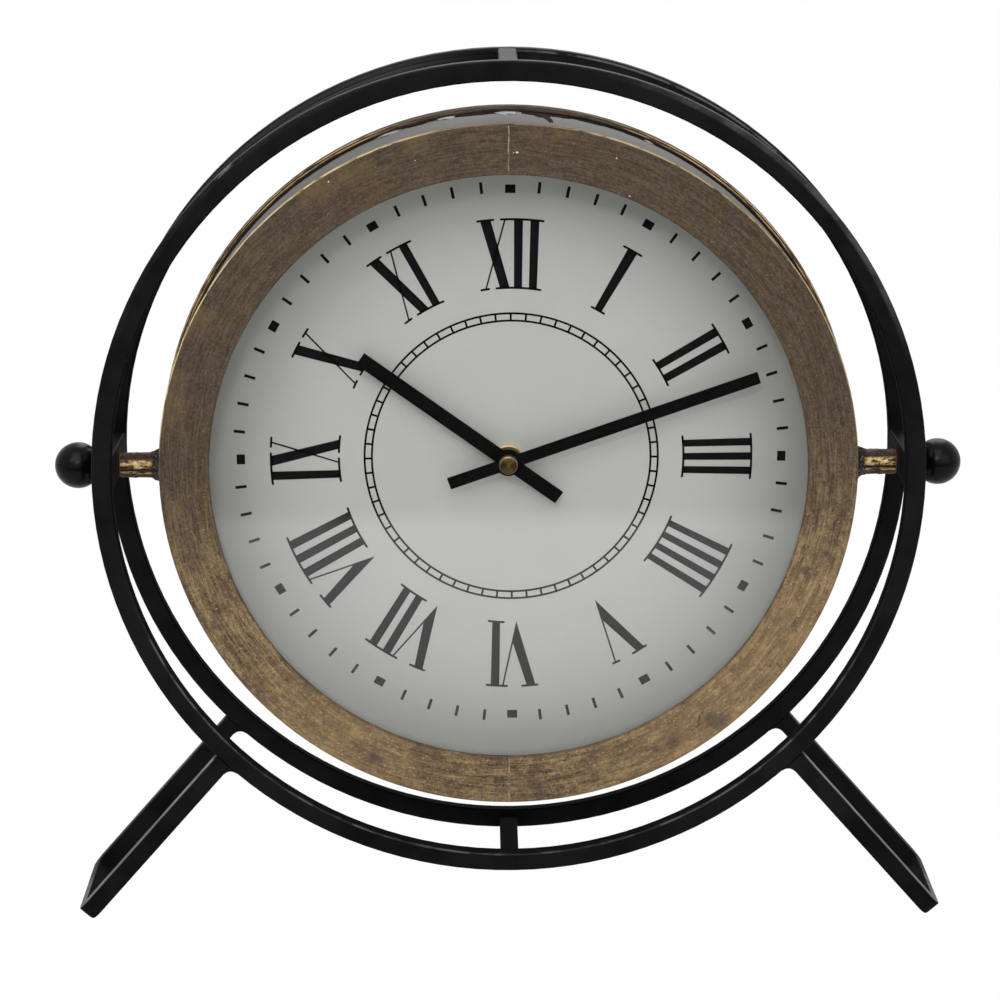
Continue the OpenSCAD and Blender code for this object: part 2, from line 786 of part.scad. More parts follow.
module minute_hand() {
    color([0.05, 0.05, 0.05]) {
        plate(minute_front, minute_front + hand_t)
            hand_outline(minute_len, minute_w, minute_angle, minute_hub_r, shaft_r);
        turned([[shaft_r, minute_front + hand_t / 2], [minute_hub_r * 0.6, minute_front + hand_t / 2],
            [minute_hub_r * 0.6, minute_front + hub_t], [shaft_r, minute_front + hub_t]], turn_fn);
    }
}

// The cap nut, with turned steps on its face
module cap_nut() {
    face = minute_front - cap_len;
    color([0.8, 0.63, 0.3])
        turned([[0, face + gap], [cap_r * 0.3, face + gap], [cap_r * 0.36, face],
            [cap_r * 0.8, face], [cap_r, face + 2 * gap], [cap_r, minute_front],
            [shaft_r, minute_front], [shaft_r, face + cap_cover], [0, face + cap_cover]], turn_fn);
}

module hour_wheel() {
    color([0.85, 0.85, 0.82])
        bored([0, 0], shaft_r, tube_front, hour_y + wheel_t) {
            union() {
                disc([0, 0], tube_r, tube_front, hour_y + wheel_t);
                wheel([0, 0], hour_teeth, hour_module, 0, hour_y);
            }
        }
}

module hour_hand() {
    color([0.05, 0.05, 0.05]) {
        plate(hour_front - hand_t, hour_front)
            hand_outline(hour_len, hour_w, hour_angle, hour_hub_r, tube_r);
        turned([[tube_r, hour_front - hand_t / 2], [hour_hub_r * 0.8, hour_front - hand_t / 2],
            [hour_hub_r * 0.8, hour_front + hand_t], [tube_r, hour_front + hand_t]], turn_fn);
    }
}

// The wheel between the minute shaft and the hour wheel, on the arbor that carries the setting knob
module setting_wheel() {
    small_turn = half_step_turn(setting_bearing, hour_teeth, setting_pinion_teeth, 0);
    color([0.85, 0.85, 0.82]) {
        wheel(setting_at, setting_teeth, setting_module,
            half_step_turn(setting_bearing, cannon_teeth, setting_teeth, 0), setting_y);
        wheel(setting_at, setting_pinion_teeth, hour_module, small_turn, hour_y, setting_y - hour_y);
        disc(setting_at, pivot_r, inside_front - pivot_len, hour_y);
        disc(setting_at, knob_stem_r, setting_y + wheel_t, housing_back + knob_gap);
    }
}

// The turn at which a driven wheel has a space where its driver, turned by driver_turn, has a tooth
function half_step_turn(bearing, driver_teeth, teeth, driver_turn) =
    let (phase = (bearing - driver_turn) * driver_teeth / 360)
    bearing + 180 + (phase - floor(phase)) * 360 / teeth + 180 / teeth;

// The knob, ribbed round its edge, with a dished face
module setting_knob() {
    y0 = housing_back + knob_gap;
    color([0.12, 0.12, 0.13])
        difference() {
            plate(y0, y0 + knob_h) translate(setting_at)
                polygon([for (i = [0:2 * knob_ribs - 1]) let (a = i * 180 / knob_ribs,
                    r = i % 2 == 0 ? knob_r : knob_r * 0.94) [r * cos(a), r * sin(a)]]);
            translate([setting_at[0], 0, setting_at[1]])
                turned([[0, y0 + knob_h * 0.7], [knob_r * 0.6, y0 + knob_h * 0.7],
                    [knob_r * 0.75, y0 + knob_h + gap], [0, y0 + knob_h + gap]], turn_fn);
        }
}

module center_wheel() {
    color([0.8, 0.66, 0.35])
        bored([0, 0], shaft_r, center_y, center_y + wheel_t)
            wheel([0, 0], center_teeth, center_module, 0, center_y);
}

module third_wheel() {
    color([0.85, 0.85, 0.82]) {
        wheel(third_at, pinion_teeth, center_module,
            half_step_turn(third_bearing, center_teeth, pinion_teeth, 0),
            center_y - gap, third_y - center_y + gap);
        wheel(third_at, third_teeth, third_module, 0, third_y);
        arbor(third_at, center_y - gap, third_y + wheel_t + gap);
    }
}

module seconds_wheel() {
    front = center_y + 2 * wheel_t + 2 * gap;
    color([0.85, 0.85, 0.82]) {
        wheel([0, 0], pinion_teeth, third_module,
            half_step_turn(third_bearing + 180, third_teeth, pinion_teeth, 0), front, seconds_y - front);
        wheel([0, 0], seconds_teeth, seconds_module, 0, seconds_y);
        disc([0, 0], pivot_r, front - pivot_len, front);
        disc([0, 0], pivot_r, seconds_y + wheel_t, lid_front + pivot_len);
    }
}

module intermediate_wheel() {
    color([0.85, 0.85, 0.82]) {
        wheel(inter_at, inter_pinion_teeth, seconds_module,
            half_step_turn(inter_bearing, seconds_teeth, inter_pinion_teeth, 0),
            seconds_y - gap, inter_y - seconds_y + gap);
        wheel(inter_at, inter_teeth, seconds_module, 0, inter_y);
        arbor(inter_at, seconds_y - gap, inter_y + wheel_t);
    }
}

module rotor() {
    magnet_back = inter_y - gap;
    color([0.3, 0.3, 0.32]) {
        wheel(rotor_at, pinion_teeth, seconds_module,
            half_step_turn(rotor_bearing, inter_teeth, pinion_teeth, 0), inter_y - gap, wheel_t + 2 * gap);
        disc(rotor_at, rotor_r, magnet_back - rotor_len, magnet_back);
        arbor(rotor_at, magnet_back - rotor_len, inter_y + wheel_t + gap);
    }
}

front_hoop();
back_hoop();
cross_post(0);  // top_post
cross_post(180);  // bottom_post
left_side() leg();  // left_leg
leg();  // right_leg
left_side() lug();  // left_lug
lug();  // right_lug
left_side() ball_knob();  // left_knob
left_side() stud();  // left_stud
ball_knob();  // right_knob
stud();  // right_stud
case_wall();
rear_ring();
left_side() bezel_half();  // bezel_left
bezel_half();  // bezel_right
left_side() stub();  // left_stub
stub();  // right_stub
union() {  // friction_washers
    friction_washer();
    left_side() friction_washer();
}
glass();
glass_gasket();
front_spacer();
dial();
rear_spacer();
cover_tabs();
back_cover();
cover_screws();
movement_housing();
movement_cover();
circuit_board();
coil();
coil_core();
stator();
battery_contacts();
battery();
rubber_washer();
dial_nut();
minute_shaft();
minute_hand();
cap_nut();
hour_wheel();
hour_hand();
setting_wheel();
setting_knob();
center_wheel();
third_wheel();
seconds_wheel();
intermediate_wheel();
rotor();
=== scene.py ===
"""The looks of a tilting table clock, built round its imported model. Lengths are in metres."""
import json
import math
from collections import namedtuple

import bpy
from mathutils import Matrix, Vector, noise


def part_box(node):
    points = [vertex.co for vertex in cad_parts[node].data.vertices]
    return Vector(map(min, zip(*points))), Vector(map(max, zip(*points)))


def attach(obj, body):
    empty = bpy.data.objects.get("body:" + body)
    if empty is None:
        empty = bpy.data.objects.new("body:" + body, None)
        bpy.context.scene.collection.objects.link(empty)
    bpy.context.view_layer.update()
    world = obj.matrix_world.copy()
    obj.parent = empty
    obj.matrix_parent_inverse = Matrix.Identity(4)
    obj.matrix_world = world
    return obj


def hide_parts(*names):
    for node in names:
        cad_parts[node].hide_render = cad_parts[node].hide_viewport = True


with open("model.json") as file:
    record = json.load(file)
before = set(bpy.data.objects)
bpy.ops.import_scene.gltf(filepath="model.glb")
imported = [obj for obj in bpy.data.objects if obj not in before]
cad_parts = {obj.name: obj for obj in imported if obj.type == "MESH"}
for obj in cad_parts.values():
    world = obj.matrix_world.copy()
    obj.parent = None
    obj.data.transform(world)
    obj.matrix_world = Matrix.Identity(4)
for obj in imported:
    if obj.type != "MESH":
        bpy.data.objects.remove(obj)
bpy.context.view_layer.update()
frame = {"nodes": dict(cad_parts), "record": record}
nodes = frame["nodes"]
MM = 0.001

# Sizes of the clock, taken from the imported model
case_low, case_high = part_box("case_wall")
glass_low, glass_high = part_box("glass")
hoop_low, hoop_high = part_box("front_hoop")
knob_low, knob_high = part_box("right_knob")
post_low, post_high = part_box("bottom_post")
ring_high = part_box("rear_ring")[1]
stub_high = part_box("right_stub")[1]
lug_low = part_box("right_lug")[0]
back_hoop_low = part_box("back_hoop")[0]
cover_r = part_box("back_cover")[1].x
nut_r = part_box("dial_nut")[1].x
cap_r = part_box("cap_nut")[1].x
dial_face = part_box("dial")[0].y
bezel_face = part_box("bezel_right")[0].y
case_r = case_high.x
case_z = (glass_low.z + glass_high.z) / 2
hoop_r = hoop_high.x
hoop_z = (hoop_low.z + hoop_high.z) / 2
hoop_inner_r = lug_low.x
bar_w = post_high.x - post_low.x
bezel_inner_r = case_r - 18.5 * MM

# The legs' slope and outer side in the model, counted from the hoops' centre in millimetres
LEG_SLOPE = math.radians(48.9)
LEG_OUTER = 13.4


# Shader expressions. Places and distances in them are in millimetres.

Place = namedtuple("Place", "x y z radius")


class Signal:
    """An output socket of a finish, with the arithmetic that adds its Math nodes."""

    def __init__(self, finish, socket):
        self.finish = finish
        self.socket = socket

    def maths(self, operation, *others):
        return self.finish.add("ShaderNodeMath", {"operation": operation}, (self, *others))

    def __add__(self, other):
        return self.maths("ADD", other)

    __radd__ = __add__

    def __sub__(self, other):
        return self.maths("SUBTRACT", other)

    def __rsub__(self, other):
        return self.finish.add("ShaderNodeMath", {"operation": "SUBTRACT"}, (other, self))

    def __mul__(self, other):
        return self.maths("MULTIPLY", other)

    __rmul__ = __mul__

    def __truediv__(self, other):
        return self.maths("DIVIDE", other)

    def limited(self):
        return self.finish.add("ShaderNodeClamp", {}, (self,))

    def between(self, low, high):
        """0 below low, 1 above high, and a smooth step in between. With low above high it falls."""
        settings = {"interpolation_type": "SMOOTHSTEP"}
        return self.finish.add("ShaderNodeMapRange", settings, (self, low, high))

    def near(self, middle, core, reach):
        """1 within a core round the middle, 0 beyond the reach."""
        return (self - middle).maths("ABSOLUTE").between(reach, core)


class Finish:
    """A material that is being built round its Principled shader."""

    def __init__(self, name):
        self.material = bpy.data.materials.new(name)
        self.material.use_nodes = True
        self.tree = self.material.node_tree
        self.shader = self.tree.nodes["Principled BSDF"]

    def add(self, kind, settings, inputs, output=0):
        """Adds a node: its settings first, then its inputs, by order or by a name-to-value map."""
        node = self.tree.nodes.new(kind)
        for name, value in settings.items():
            setattr(node, name, value)
        pairs = inputs.items() if isinstance(inputs, dict) else enumerate(inputs)
        for key, value in pairs:
            self.feed(node.inputs[key], value)
        return Signal(self, node.outputs[output])

    def feed(self, socket, value):
        if isinstance(value, Signal):
            self.tree.links.new(value.socket, socket)
        else:
            socket.default_value = value

    def set(self, **values):
        for name, value in values.items():
            self.feed(self.shader.inputs[name.replace("_", " ")], value)

    def place(self, centre=(0, 0, 0), stretch=(1, 1, 1)):
        """Object coordinates in millimetres, counted from a centre."""
        scale = [s / MM for s in stretch]
        shift = [-c * s for c, s in zip(centre, scale)]
        spot = self.add("ShaderNodeTexCoord", {}, (), "Object")
        return self.add("ShaderNodeMapping", {}, {"Vector": spot, "Location": shift, "Scale": scale})

    def parts(self, vector):
        """A vector's parts, and its distance from the y axis."""
        x, y, z = [self.add("ShaderNodeSeparateXYZ", {}, (vector,), k) for k in range(3)]
        return Place(x, y, z, (x * x + z * z).maths("SQRT"))

    def vector(self, x, y, z):
        return self.add("ShaderNodeCombineXYZ", {}, (x, y, z))

    def noise(self, vector, size, detail=3.0, roughness=0.55):
        inputs = {"Vector": vector, "Scale": 1 / size, "Detail": detail, "Roughness": roughness}
        return self.add("ShaderNodeTexNoise", {}, inputs)

    def spots(self, vector, size):
        """Distance from the middle of the nearest of many scattered cells, in cell widths."""
        return self.add("ShaderNodeTexVoronoi", {}, {"Vector": vector, "Scale": 1 / size}, "Distance")

    def mix(self, low, high, factor):
        return self.add("ShaderNodeMix", {"data_type": "RGBA"}, {0: factor, 6: low, 7: high}, 2)

    def surface(self, shader):
        """Puts another shader in place of the Principled one."""
        self.feed(self.tree.nodes["Material Output"].inputs["Surface"], shader)

    def bump(self, height, depth, strength=1.0):
        inputs = {"Height": height, "Distance": depth, "Strength": strength}
        self.set(Normal=self.add("ShaderNodeBump", {}, inputs))


def tone(red, green, blue):
    """The linear colour of an 8-bit screen colour."""
    return [*(((c / 255 + 0.055) / 1.055) ** 2.4 if c > 10 else c / 255 / 12.92
              for c in (red, green, blue)), 1]


def around(f, along):
    """Coordinates stretched round the case, so that a pattern runs in rings, and the plain ones."""
    at = f.parts(f.place((0, 0, case_z)))
    reach = case_r / MM * along
    rings = f.vector(at.x / at.radius * reach, at.radius + at.y, at.z / at.radius * reach)
    return rings, at


# Finishes of the stand

RUB_X = -103.5
RUB_Z = 116
RUB_ALONG_X = 0.75
RUB_ALONG_Z = 0.66


def hoop_top_highlights(f, paint, at, streaks, lines):
    """Painted highlights high up, where light from above falls: the rear hoop's face with a line near
    its edge, and both outer sides.
    """
    edge = hoop_r / MM
    # Painted highlight: the rear hoop's face lighter near its top edge, most at the upper left.
    rear_top = at.y.between(0, 5) * at.z.between(50, 90)
    left = at.x.between(-10, -45)
    face = rear_top * (0.1 + 0.9 * left) * (0.25 + 0.75 * lines.between(0.42, 0.55))
    paint = f.mix(paint, tone(57, 54, 53), face * at.radius.between(edge - 0.4, edge - 0.9))
    # Painted highlight along both hoops' outer sides, high up.
    outer = at.radius.between(edge - 0.5, edge - 0.1) * at.z.between(20, 105)
    paint = f.mix(paint, tone(69, 66, 66), outer * (0.15 + 0.35 * streaks.between(0.35, 0.8)))
    # A painted highlight line near the rear hoop's top edge.
    line = at.radius.between(edge - 1.6, edge - 1.3) * at.radius.between(edge - 0.6, edge - 0.9)
    line = line * rear_top * at.x.between(-10, 25)
    return f.mix(paint, tone(96, 90, 86), line * streaks.between(0.35, 0.5) * 0.8)


def hoop_edge_highlights(f, paint, at, streaks):
    """Painted highlights on the front hoop's front edges: the outer one high up, the inner one low down.
    """
    edge, inside, front = hoop_r / MM, hoop_inner_r / MM, hoop_low.y / MM
    front_edge = at.y.between(front + 1.1, front + 0.3)
    # Painted highlight on the outer front edge, high up.
    shoulder_highlight = at.radius.between(edge - 2.6, edge - 1.4) * front_edge * at.z.between(40, 85)
    shoulder_highlight = shoulder_highlight * at.z.between(152, 138) * (0.15 + 0.85 * at.x.between(-10, 25))
    paint = f.mix(paint, tone(66, 65, 67), shoulder_highlight * (0.3 + 0.5 * streaks.between(0.4, 0.65)))
    # Painted highlight on the inner front edge, low down.
    inner = at.radius.between(inside + 1.3, inside + 1.0) * front_edge * at.z.between(-35, -75)
    return f.mix(paint, tone(84, 81, 82), inner * (0.15 + 0.6 * streaks.between(0.42, 0.62)))


def leg_top_highlight(f, paint, at, streaks):
    """Painted highlight on the top sides of the legs, where light from above falls, most on their front
    bars.
    """
    edge = hoop_r / MM
    off = at.x.maths("ABSOLUTE") * math.sin(LEG_SLOPE) + at.z * math.cos(LEG_SLOPE)
    # Painted highlight: the legs' upward-facing outer sides made lighter.
    top = off.between(LEG_OUTER - 0.3, LEG_OUTER - 0.05) * at.radius.between(edge + 1, edge + 3)
    top = top * at.z.between(-70, -90) * (0.3 + 0.6 * at.y.between(5, 0))
    return f.mix(paint, tone(130, 128, 128), top * (0.4 + 0.5 * streaks.between(0.35, 0.6)))


def rub_mark(f, paint, at, streaks):
    """A short scrape on the front hoop's outer side, at the upper left."""
    edge = hoop_r / MM
    x = at.x - RUB_X
    z = at.z - RUB_Z
    mark = (x * RUB_ALONG_X + z * RUB_ALONG_Z).near(0, 2.5, 5) * (x * x + z * z).between(60, 30)
    mark = mark * at.radius.between(edge - 1.2, edge - 0.6) * at.y.between(5, 0)
    return f.mix(paint, tone(120, 114, 108), mark * streaks.between(0.4, 0.5) * 0.6)


def braze_spray(f, paint, at, spot):
    """Brown spray from the brazing, round the pivots on the inner sides of the bars."""
    inside = hoop_inner_r / MM
    height = at.z - (case_z - hoop_z) / MM
    off = (at.y * at.y + height * height).maths("SQRT")
    spray = (off + 5 * (f.noise(spot, 3) - 0.5)).between(9, 6)
    return f.mix(paint, tone(52, 38, 24), spray * at.radius.between(inside + 1.5, inside + 0.8) * 0.8)


def black_iron():
    """Satin black paint on rolled bar, with painted highlights along its upper sides and edges, painted
    shade on the hoops' inner sides, wear and a few chips.
    """
    f = Finish("satin_black_iron")
    spot = f.place((0, 0, hoop_z))
    at = f.parts(spot)
    inside = hoop_inner_r / MM
    cloud = f.noise(spot, 18)
    streaks = f.noise(f.place((0, 0, hoop_z), (0.12, 1, 0.12)), 1.1)
    lines = f.noise(f.vector(at.radius, 0.1 * cloud, 0.0), 0.9, 2)
    # Painted shade: the hoops' inner sides, which face the case, darkened; the same mask also roughens
    # them.
    inner_shade = at.radius.between(inside + 0.6, inside + 0.3)
    paint = f.mix(tone(6, 6, 8), tone(17, 16, 17), cloud.between(0.3, 0.7))
    paint = hoop_top_highlights(f, paint, at, streaks, lines)
    paint = hoop_edge_highlights(f, paint, at, streaks)
    paint = f.mix(paint, tone(3, 3, 5), inner_shade * 0.9)
    paint = leg_top_highlight(f, paint, at, streaks)
    paint = rub_mark(f, paint, at, streaks)
    paint = braze_spray(f, paint, at, spot)
    chip = f.noise(spot, 2.4, 4, 0.7).between(0.75, 0.79)
    dull = inner_shade.maths("MAXIMUM", at.z.between(-128, -140))
    f.set(Base_Color=f.mix(paint, tone(92, 90, 88), chip * 0.6),
          Roughness=0.42 + 0.12 * cloud + 0.4 * dull, Specular_IOR_Level=0.06)
    f.bump(f.noise(spot, 0.7, 2) + cloud * 2, 0.03 * MM, 0.5)
    return f.material


def black_knob():
    """Smoother black paint on the ball knobs, with a faint ripple."""
    f = Finish("semi_gloss_black")
    spot = f.place()
    f.set(Base_Color=f.mix(tone(3, 3, 4), tone(7, 7, 8), f.noise(spot, 6)),
          Roughness=0.22 + 0.08 * f.noise(spot, 3), Specular_IOR_Level=0.1)
    f.bump(f.noise(spot, 1.1, 2), 0.02 * MM, 0.35)
    return f.material


# Finishes of the case

DARK_SPOTS = ((62.1, -107.3, 3.2), (78.9, -98.4, 6.5), (-52, -112, 4.5))
SCRATCH_X = 73.2
SCRATCH_Z = -97.4


def bezel_ground(f, at, cloud, drift, bands, fine, low):
    """The bezel before its marks: a grey-brown wash above and a gold mottle below, with a painted sheen
    low on both sides.
    """
    rim = case_r / MM
    wash = f.mix(tone(36, 28, 22), tone(90, 76, 64), fine.between(0.32, 0.7))
    olive = f.mix(tone(38, 30, 16), tone(94, 79, 54), fine.between(0.32, 0.7))
    upper = f.mix(wash, olive, (cloud * 0.5 + drift * 0.5).between(0.44, 0.62) * 0.75)
    rubbed = at.radius.between(rim - 11, rim - 2) * cloud.between(0.44, 0.62) * at.x.between(60, -20)
    upper = f.mix(upper, tone(122, 102, 64), rubbed * 0.22)
    shade = f.mix(tone(52, 40, 31), tone(114, 94, 73), fine.between(0.36, 0.66))
    gold = f.mix(tone(60, 47, 31), tone(148, 126, 91), fine.between(0.34, 0.65))
    lower = f.mix(shade, gold, (bands * 0.6 + drift * 0.4).between(0.4, 0.6))
    # Painted sheen: the lower bezel lighter on both sides, as if catching light.
    painted_sheen = at.x.maths("ABSOLUTE").between(18, 62) * (at.z - 0.25 * at.x).between(-45, -85)
    return f.mix(f.mix(upper, lower, low), tone(176, 148, 108), painted_sheen * 0.16)


def bezel_marks(f, colour, spot, at, drift, fine, low, pits):
    """Pale flecks, pits, dark spots and one scratch."""
    fleck = f.noise(spot, 0.9, 2, 0.5).between(0.68 - 0.03 * low, 0.74 - 0.03 * low)
    pale = f.mix(tone(136, 122, 102), tone(180, 152, 110), low)
    colour = f.mix(colour, pale, fleck * (0.35 + 0.25 * low))
    colour = f.mix(colour, tone(44, 35, 28), pits * 0.6)
    smudge = f.noise(spot, 6.5, 2).between(0.62, 0.72) * low
    for spot_x, spot_z, reach in DARK_SPOTS:
        off_x = at.x - spot_x
        off_z = at.z - spot_z
        away = (off_x * off_x + off_z * off_z).maths("SQRT") + 5 * (drift - 0.5)
        smudge = smudge.maths("MAXIMUM", away.between(reach, 0.3 * reach))
    colour = f.mix(colour, tone(64, 53, 51), smudge * 0.6)
    across = at.x - SCRATCH_X - 0.4 * (at.z - SCRATCH_Z) + 3 * (drift - 0.5)
    scratch = across.near(0, 0.2, 0.55) * at.z.near(-97, 3, 5)
    return f.mix(colour, tone(44, 36, 30), scratch * (0.35 + 0.6 * fine.between(0.55, 0.4)))


def bezel_edges(f, colour, spot, rings, at, low):
    """A worn gold line along the outer edge, and a dark one along the inner lip."""
    rim, inner = case_r / MM, bezel_inner_r / MM
    worn = at.z.between(-8, 34) * (1 - 0.75 * at.x.maths("ABSOLUTE").between(50, 16))
    worn = worn * (1 - 0.45 * at.x.between(20, 60)) * f.noise(rings, 1.1, 4, 0.7).between(0.36, 0.52)
    colour = f.mix(colour, tone(222, 198, 146), at.radius.between(rim - 0.2, rim + 0.05) * worn * 0.85)
    lip = at.radius.between(inner + 0.6, inner + 0.2) * f.noise(spot, 1.4, 2).between(0.3, 0.5)
    return f.mix(colour, tone(34, 28, 24), lip * (0.3 + 0.2 * low))


def bezel_patina():
    """Antique bronze, brushed round the dial: dull and grey-brown above, smoother and more golden below.
    """
    f = Finish("brushed_bronze_patina")
    rings, at = around(f, 0.2)
    long_rings = around(f, 0.05)[0]
    spot = f.place((0, 0, case_z))
    streaks = f.noise(rings, 0.75, 4, 0.7)
    bands = f.noise(rings, 3.4)
    brushed = f.noise(long_rings, 0.7, 3, 0.6)
    mottle = f.noise(spot, 1.0, 3, 0.75)
    grit = f.noise(spot, 0.42, 2, 0.6)
    cloud = f.noise(spot, 17)
    drift = f.noise(spot, 4.5)
    fine = brushed * 0.31 + streaks * 0.24 + mottle * 0.33 + grit * 0.2 - 0.04
    low = (at.z + 24 * (cloud - 0.5) - 0.1 * at.x + 6).between(26, -44)
    pits = f.noise(spot, 0.8, 3, 0.7).between(0.37, 0.3) * (0.3 + 0.7 * low)
    colour = bezel_ground(f, at, cloud, drift, bands, fine, low)
    colour = bezel_marks(f, colour, spot, at, drift, fine, low, pits)
    f.set(Base_Color=bezel_edges(f, colour, spot, rings, at, low), Roughness=0.62 - 0.14 * low,
          Metallic=0.08 + 0.16 * low, Specular_IOR_Level=0.15)
    f.bump(streaks * 1.2 + mottle - pits, 0.05 * MM, 0.5)
    return f.material


def wall_sheet():
    """The drum's sheet: a smooth grey wash, darker along both edges, with smears that run round it."""
    f = Finish("washed_drum_sheet")
    rings, at = around(f, 0.06)
    spot = f.place((0, 0, case_z))
    smear = f.noise(rings, 3.2, 4, 0.6)
    colour = f.mix(tone(75, 73, 71), tone(99, 98, 96), smear.between(0.25, 0.75))
    side = at.x.maths("ABSOLUTE").between(30, 80)
    patches = f.noise(spot, 15).between(0.4, 0.6)
    colour = f.mix(colour, tone(78, 81, 74), patches * (0.25 + 0.45 * side))
    front = at.y.between(case_low.y / MM + 4.4, case_low.y / MM + 3.2)
    back = (at.y + 1.6 * (smear - 0.5)).between(case_high.y / MM - 1.6, case_high.y / MM - 0.4)
    colour = f.mix(colour, tone(30, 25, 21), front * 0.8)
    colour = f.mix(colour, tone(34, 28, 24), back * (0.35 + 0.5 * side))
    f.set(Base_Color=colour, Roughness=0.45 + 0.2 * smear, Metallic=0.15, Specular_IOR_Level=0.25)
    f.bump(smear + f.noise(spot, 0.8, 2) * 0.3, 0.04 * MM, 0.4)
    return f.material


# Painted highlight lines on the bead crowns: depth in from the rim, half width and strength, in
# millimetres.
BEAD_CROWN_HIGHLIGHTS = ((0.35, 0.22, 0.85), (1.25, 0.28, 0.75))


def rim_bronze():
    """The rolled rear beads: two thin gold lines painted along their crowns as highlights, dark between
    them, and painted shade in the groove beneath them.
    """
    f = Finish("rolled_rim_bronze")
    rings, at = around(f, 0.1)
    spot = f.place((0, 0, case_z))
    streaks = f.noise(rings, 0.8, 4, 0.65)
    cloud = f.noise(spot, 9)
    depth_in = ring_high.x / MM - (at.radius + 0.25 * (streaks - 0.5))
    side = at.x.maths("ABSOLUTE").between(30, 58)
    top_wash = f.mix(tone(42, 34, 28), tone(84, 72, 62), streaks.between(0.3, 0.7))
    side_wash = f.mix(tone(34, 25, 19), tone(66, 50, 36), streaks.between(0.3, 0.7))
    colour = f.mix(top_wash, side_wash, side * (0.7 + 0.3 * cloud))
    gold = f.mix(tone(140, 112, 76), tone(206, 176, 130), streaks.between(0.4, 0.6))
    # Painted highlights along the beads' crowns, strongest on the sides.
    for middle, half, strength in BEAD_CROWN_HIGHLIGHTS:
        shown = 0.12 + strength * side * streaks.between(0.36, 0.52)
        colour = f.mix(colour, gold, depth_in.near(middle, half / 2, half) * shown)
    # Painted shade in the groove beneath the beads, stronger towards the right.
    groove_shade = depth_in.between(1.7, 2.0) * (0.55 + 0.45 * (at.x + 24 * (cloud - 0.5)).between(-4, 16))
    colour = f.mix(colour, tone(22, 17, 14), groove_shade.limited())
    rear = at.y.between(ring_high.y / MM - 2.2, ring_high.y / MM - 1.6)
    colour = f.mix(colour, tone(24, 18, 14), rear * 0.85)
    f.set(Base_Color=colour, Roughness=0.55, Metallic=0.15, Specular_IOR_Level=0.12)
    f.bump(streaks + f.noise(spot, 0.9, 2) * 0.6, 0.07 * MM, 0.6)
    return f.material


def stub_bronze():
    """Brazed stubs: dark brown with painted golden glints in bands along them, a painted dark band
    between, and burnt black where they meet the case.
    """
    f = Finish("brazed_stub_bronze")
    spot = f.place((0, 0, case_z))
    at = f.parts(spot)
    lumps = f.noise(f.place((0, 0, case_z), (0.4, 1, 1)), 1.3, 4, 0.7)
    runs = f.noise(f.place((0, 0, case_z), (0.16, 1, 1)), 1.0, 3, 0.6)
    grain = f.noise(spot, 0.5, 2)
    brown = f.mix(tone(22, 14, 9), tone(68, 47, 29), (lumps * 0.6 + grain * 0.4).between(0.35, 0.65))
    # Painted glints: golden bands along the stub at fixed heights, where light catches it; they are also
    # smoother and more metallic.
    height = at.z + 1.6 * (lumps - 0.5)
    upper = height.between(-0.5, 0.4) * height.between(3.2, 2.2)
    under = height.between(-2.9, -2.4) * height.between(-1.2, -1.6)
    painted_glints = (upper * lumps.between(0.4, 0.58) + under * runs.between(0.42, 0.56) * 0.6).limited()
    colour = f.mix(brown, tone(214, 182, 124), painted_glints * 0.9)
    # Painted shade: a dark band between the glint bands.
    shade_band = height.between(-1.3, -0.9) * height.between(-0.3, -0.6)
    colour = f.mix(colour, tone(22, 14, 9), shade_band * 0.85)
    out = at.x.maths("ABSOLUTE") - case_r / MM
    burnt = (out + 2.6 * (f.noise(spot, 1.6) - 0.5)).between(5.4, 3.6)
    ash = f.noise(spot, 0.9, 3, 0.7).between(0.58, 0.66)
    colour = f.mix(colour, f.mix(tone(19, 16, 17), tone(124, 118, 116), ash), burnt * 0.92)
    f.set(Base_Color=colour, Roughness=0.42 - 0.15 * painted_glints + 0.1 * burnt, Metallic=0.3 * painted_glints,
          Specular_IOR_Level=0.15)
    f.bump(lumps + grain * 0.3, 0.3 * MM, 0.7)
    return f.material


def dial_paint():
    """Matte off-white paint, faintly mottled, with painted shade towards its rim, most at the top under
    the bezel, and a few specks.
    """
    f = Finish("dial_off_white")
    spot = f.place()
    at = f.parts(f.place((0, 0, case_z)))
    colour = f.mix(tone(168, 169, 164), tone(172, 173, 168), f.noise(spot, 30))
    # Painted shade: the dial greyer towards its rim, most at the top, where the bezel shades it.
    rim_shade = at.radius.between(64, 112) * (0.45 + 0.55 * at.z.between(-95, -20))
    colour = f.mix(colour, tone(112, 112, 109), rim_shade * 0.3)
    speck = f.spots(spot, 24).between(0.014, 0.009)
    colour = f.mix(colour, tone(120, 116, 108), speck * 0.6)
    f.set(Base_Color=colour, Roughness=0.7, Specular_IOR_Level=0.1)
    f.bump(f.noise(spot, 0.5, 2), 0.01 * MM, 0.3)
    return f.material


def clear_glass():
    """Flat glass: clear where it is looked through, with the mirror image that its angle gives."""
    f = Finish("clear_flat_glass")
    clear = f.add("ShaderNodeBsdfTransparent", {}, (tone(253, 253, 253),))
    gloss = f.add("ShaderNodeBsdfGlossy", {}, {"Color": tone(255, 255, 255), "Roughness": 0.0})
    slant = f.add("ShaderNodeLayerWeight", {}, {"Blend": 0.5}, "Facing")
    mirrored = slant.maths("POWER", 5.0) * 0.96 + 0.025
    f.surface(f.add("ShaderNodeMixShader", {}, (mirrored, clear, gloss)))
    return f.material


def pale_card():
    """Pale card strip: short fibres that lie along it."""
    f = Finish("pale_card")
    fibres = f.noise(around(f, 0.3)[0], 0.5)
    f.set(Base_Color=f.mix(tone(72, 66, 58), tone(100, 93, 83), fibres), Roughness=0.8)
    f.bump(fibres, 0.02 * MM, 0.4)
    return f.material


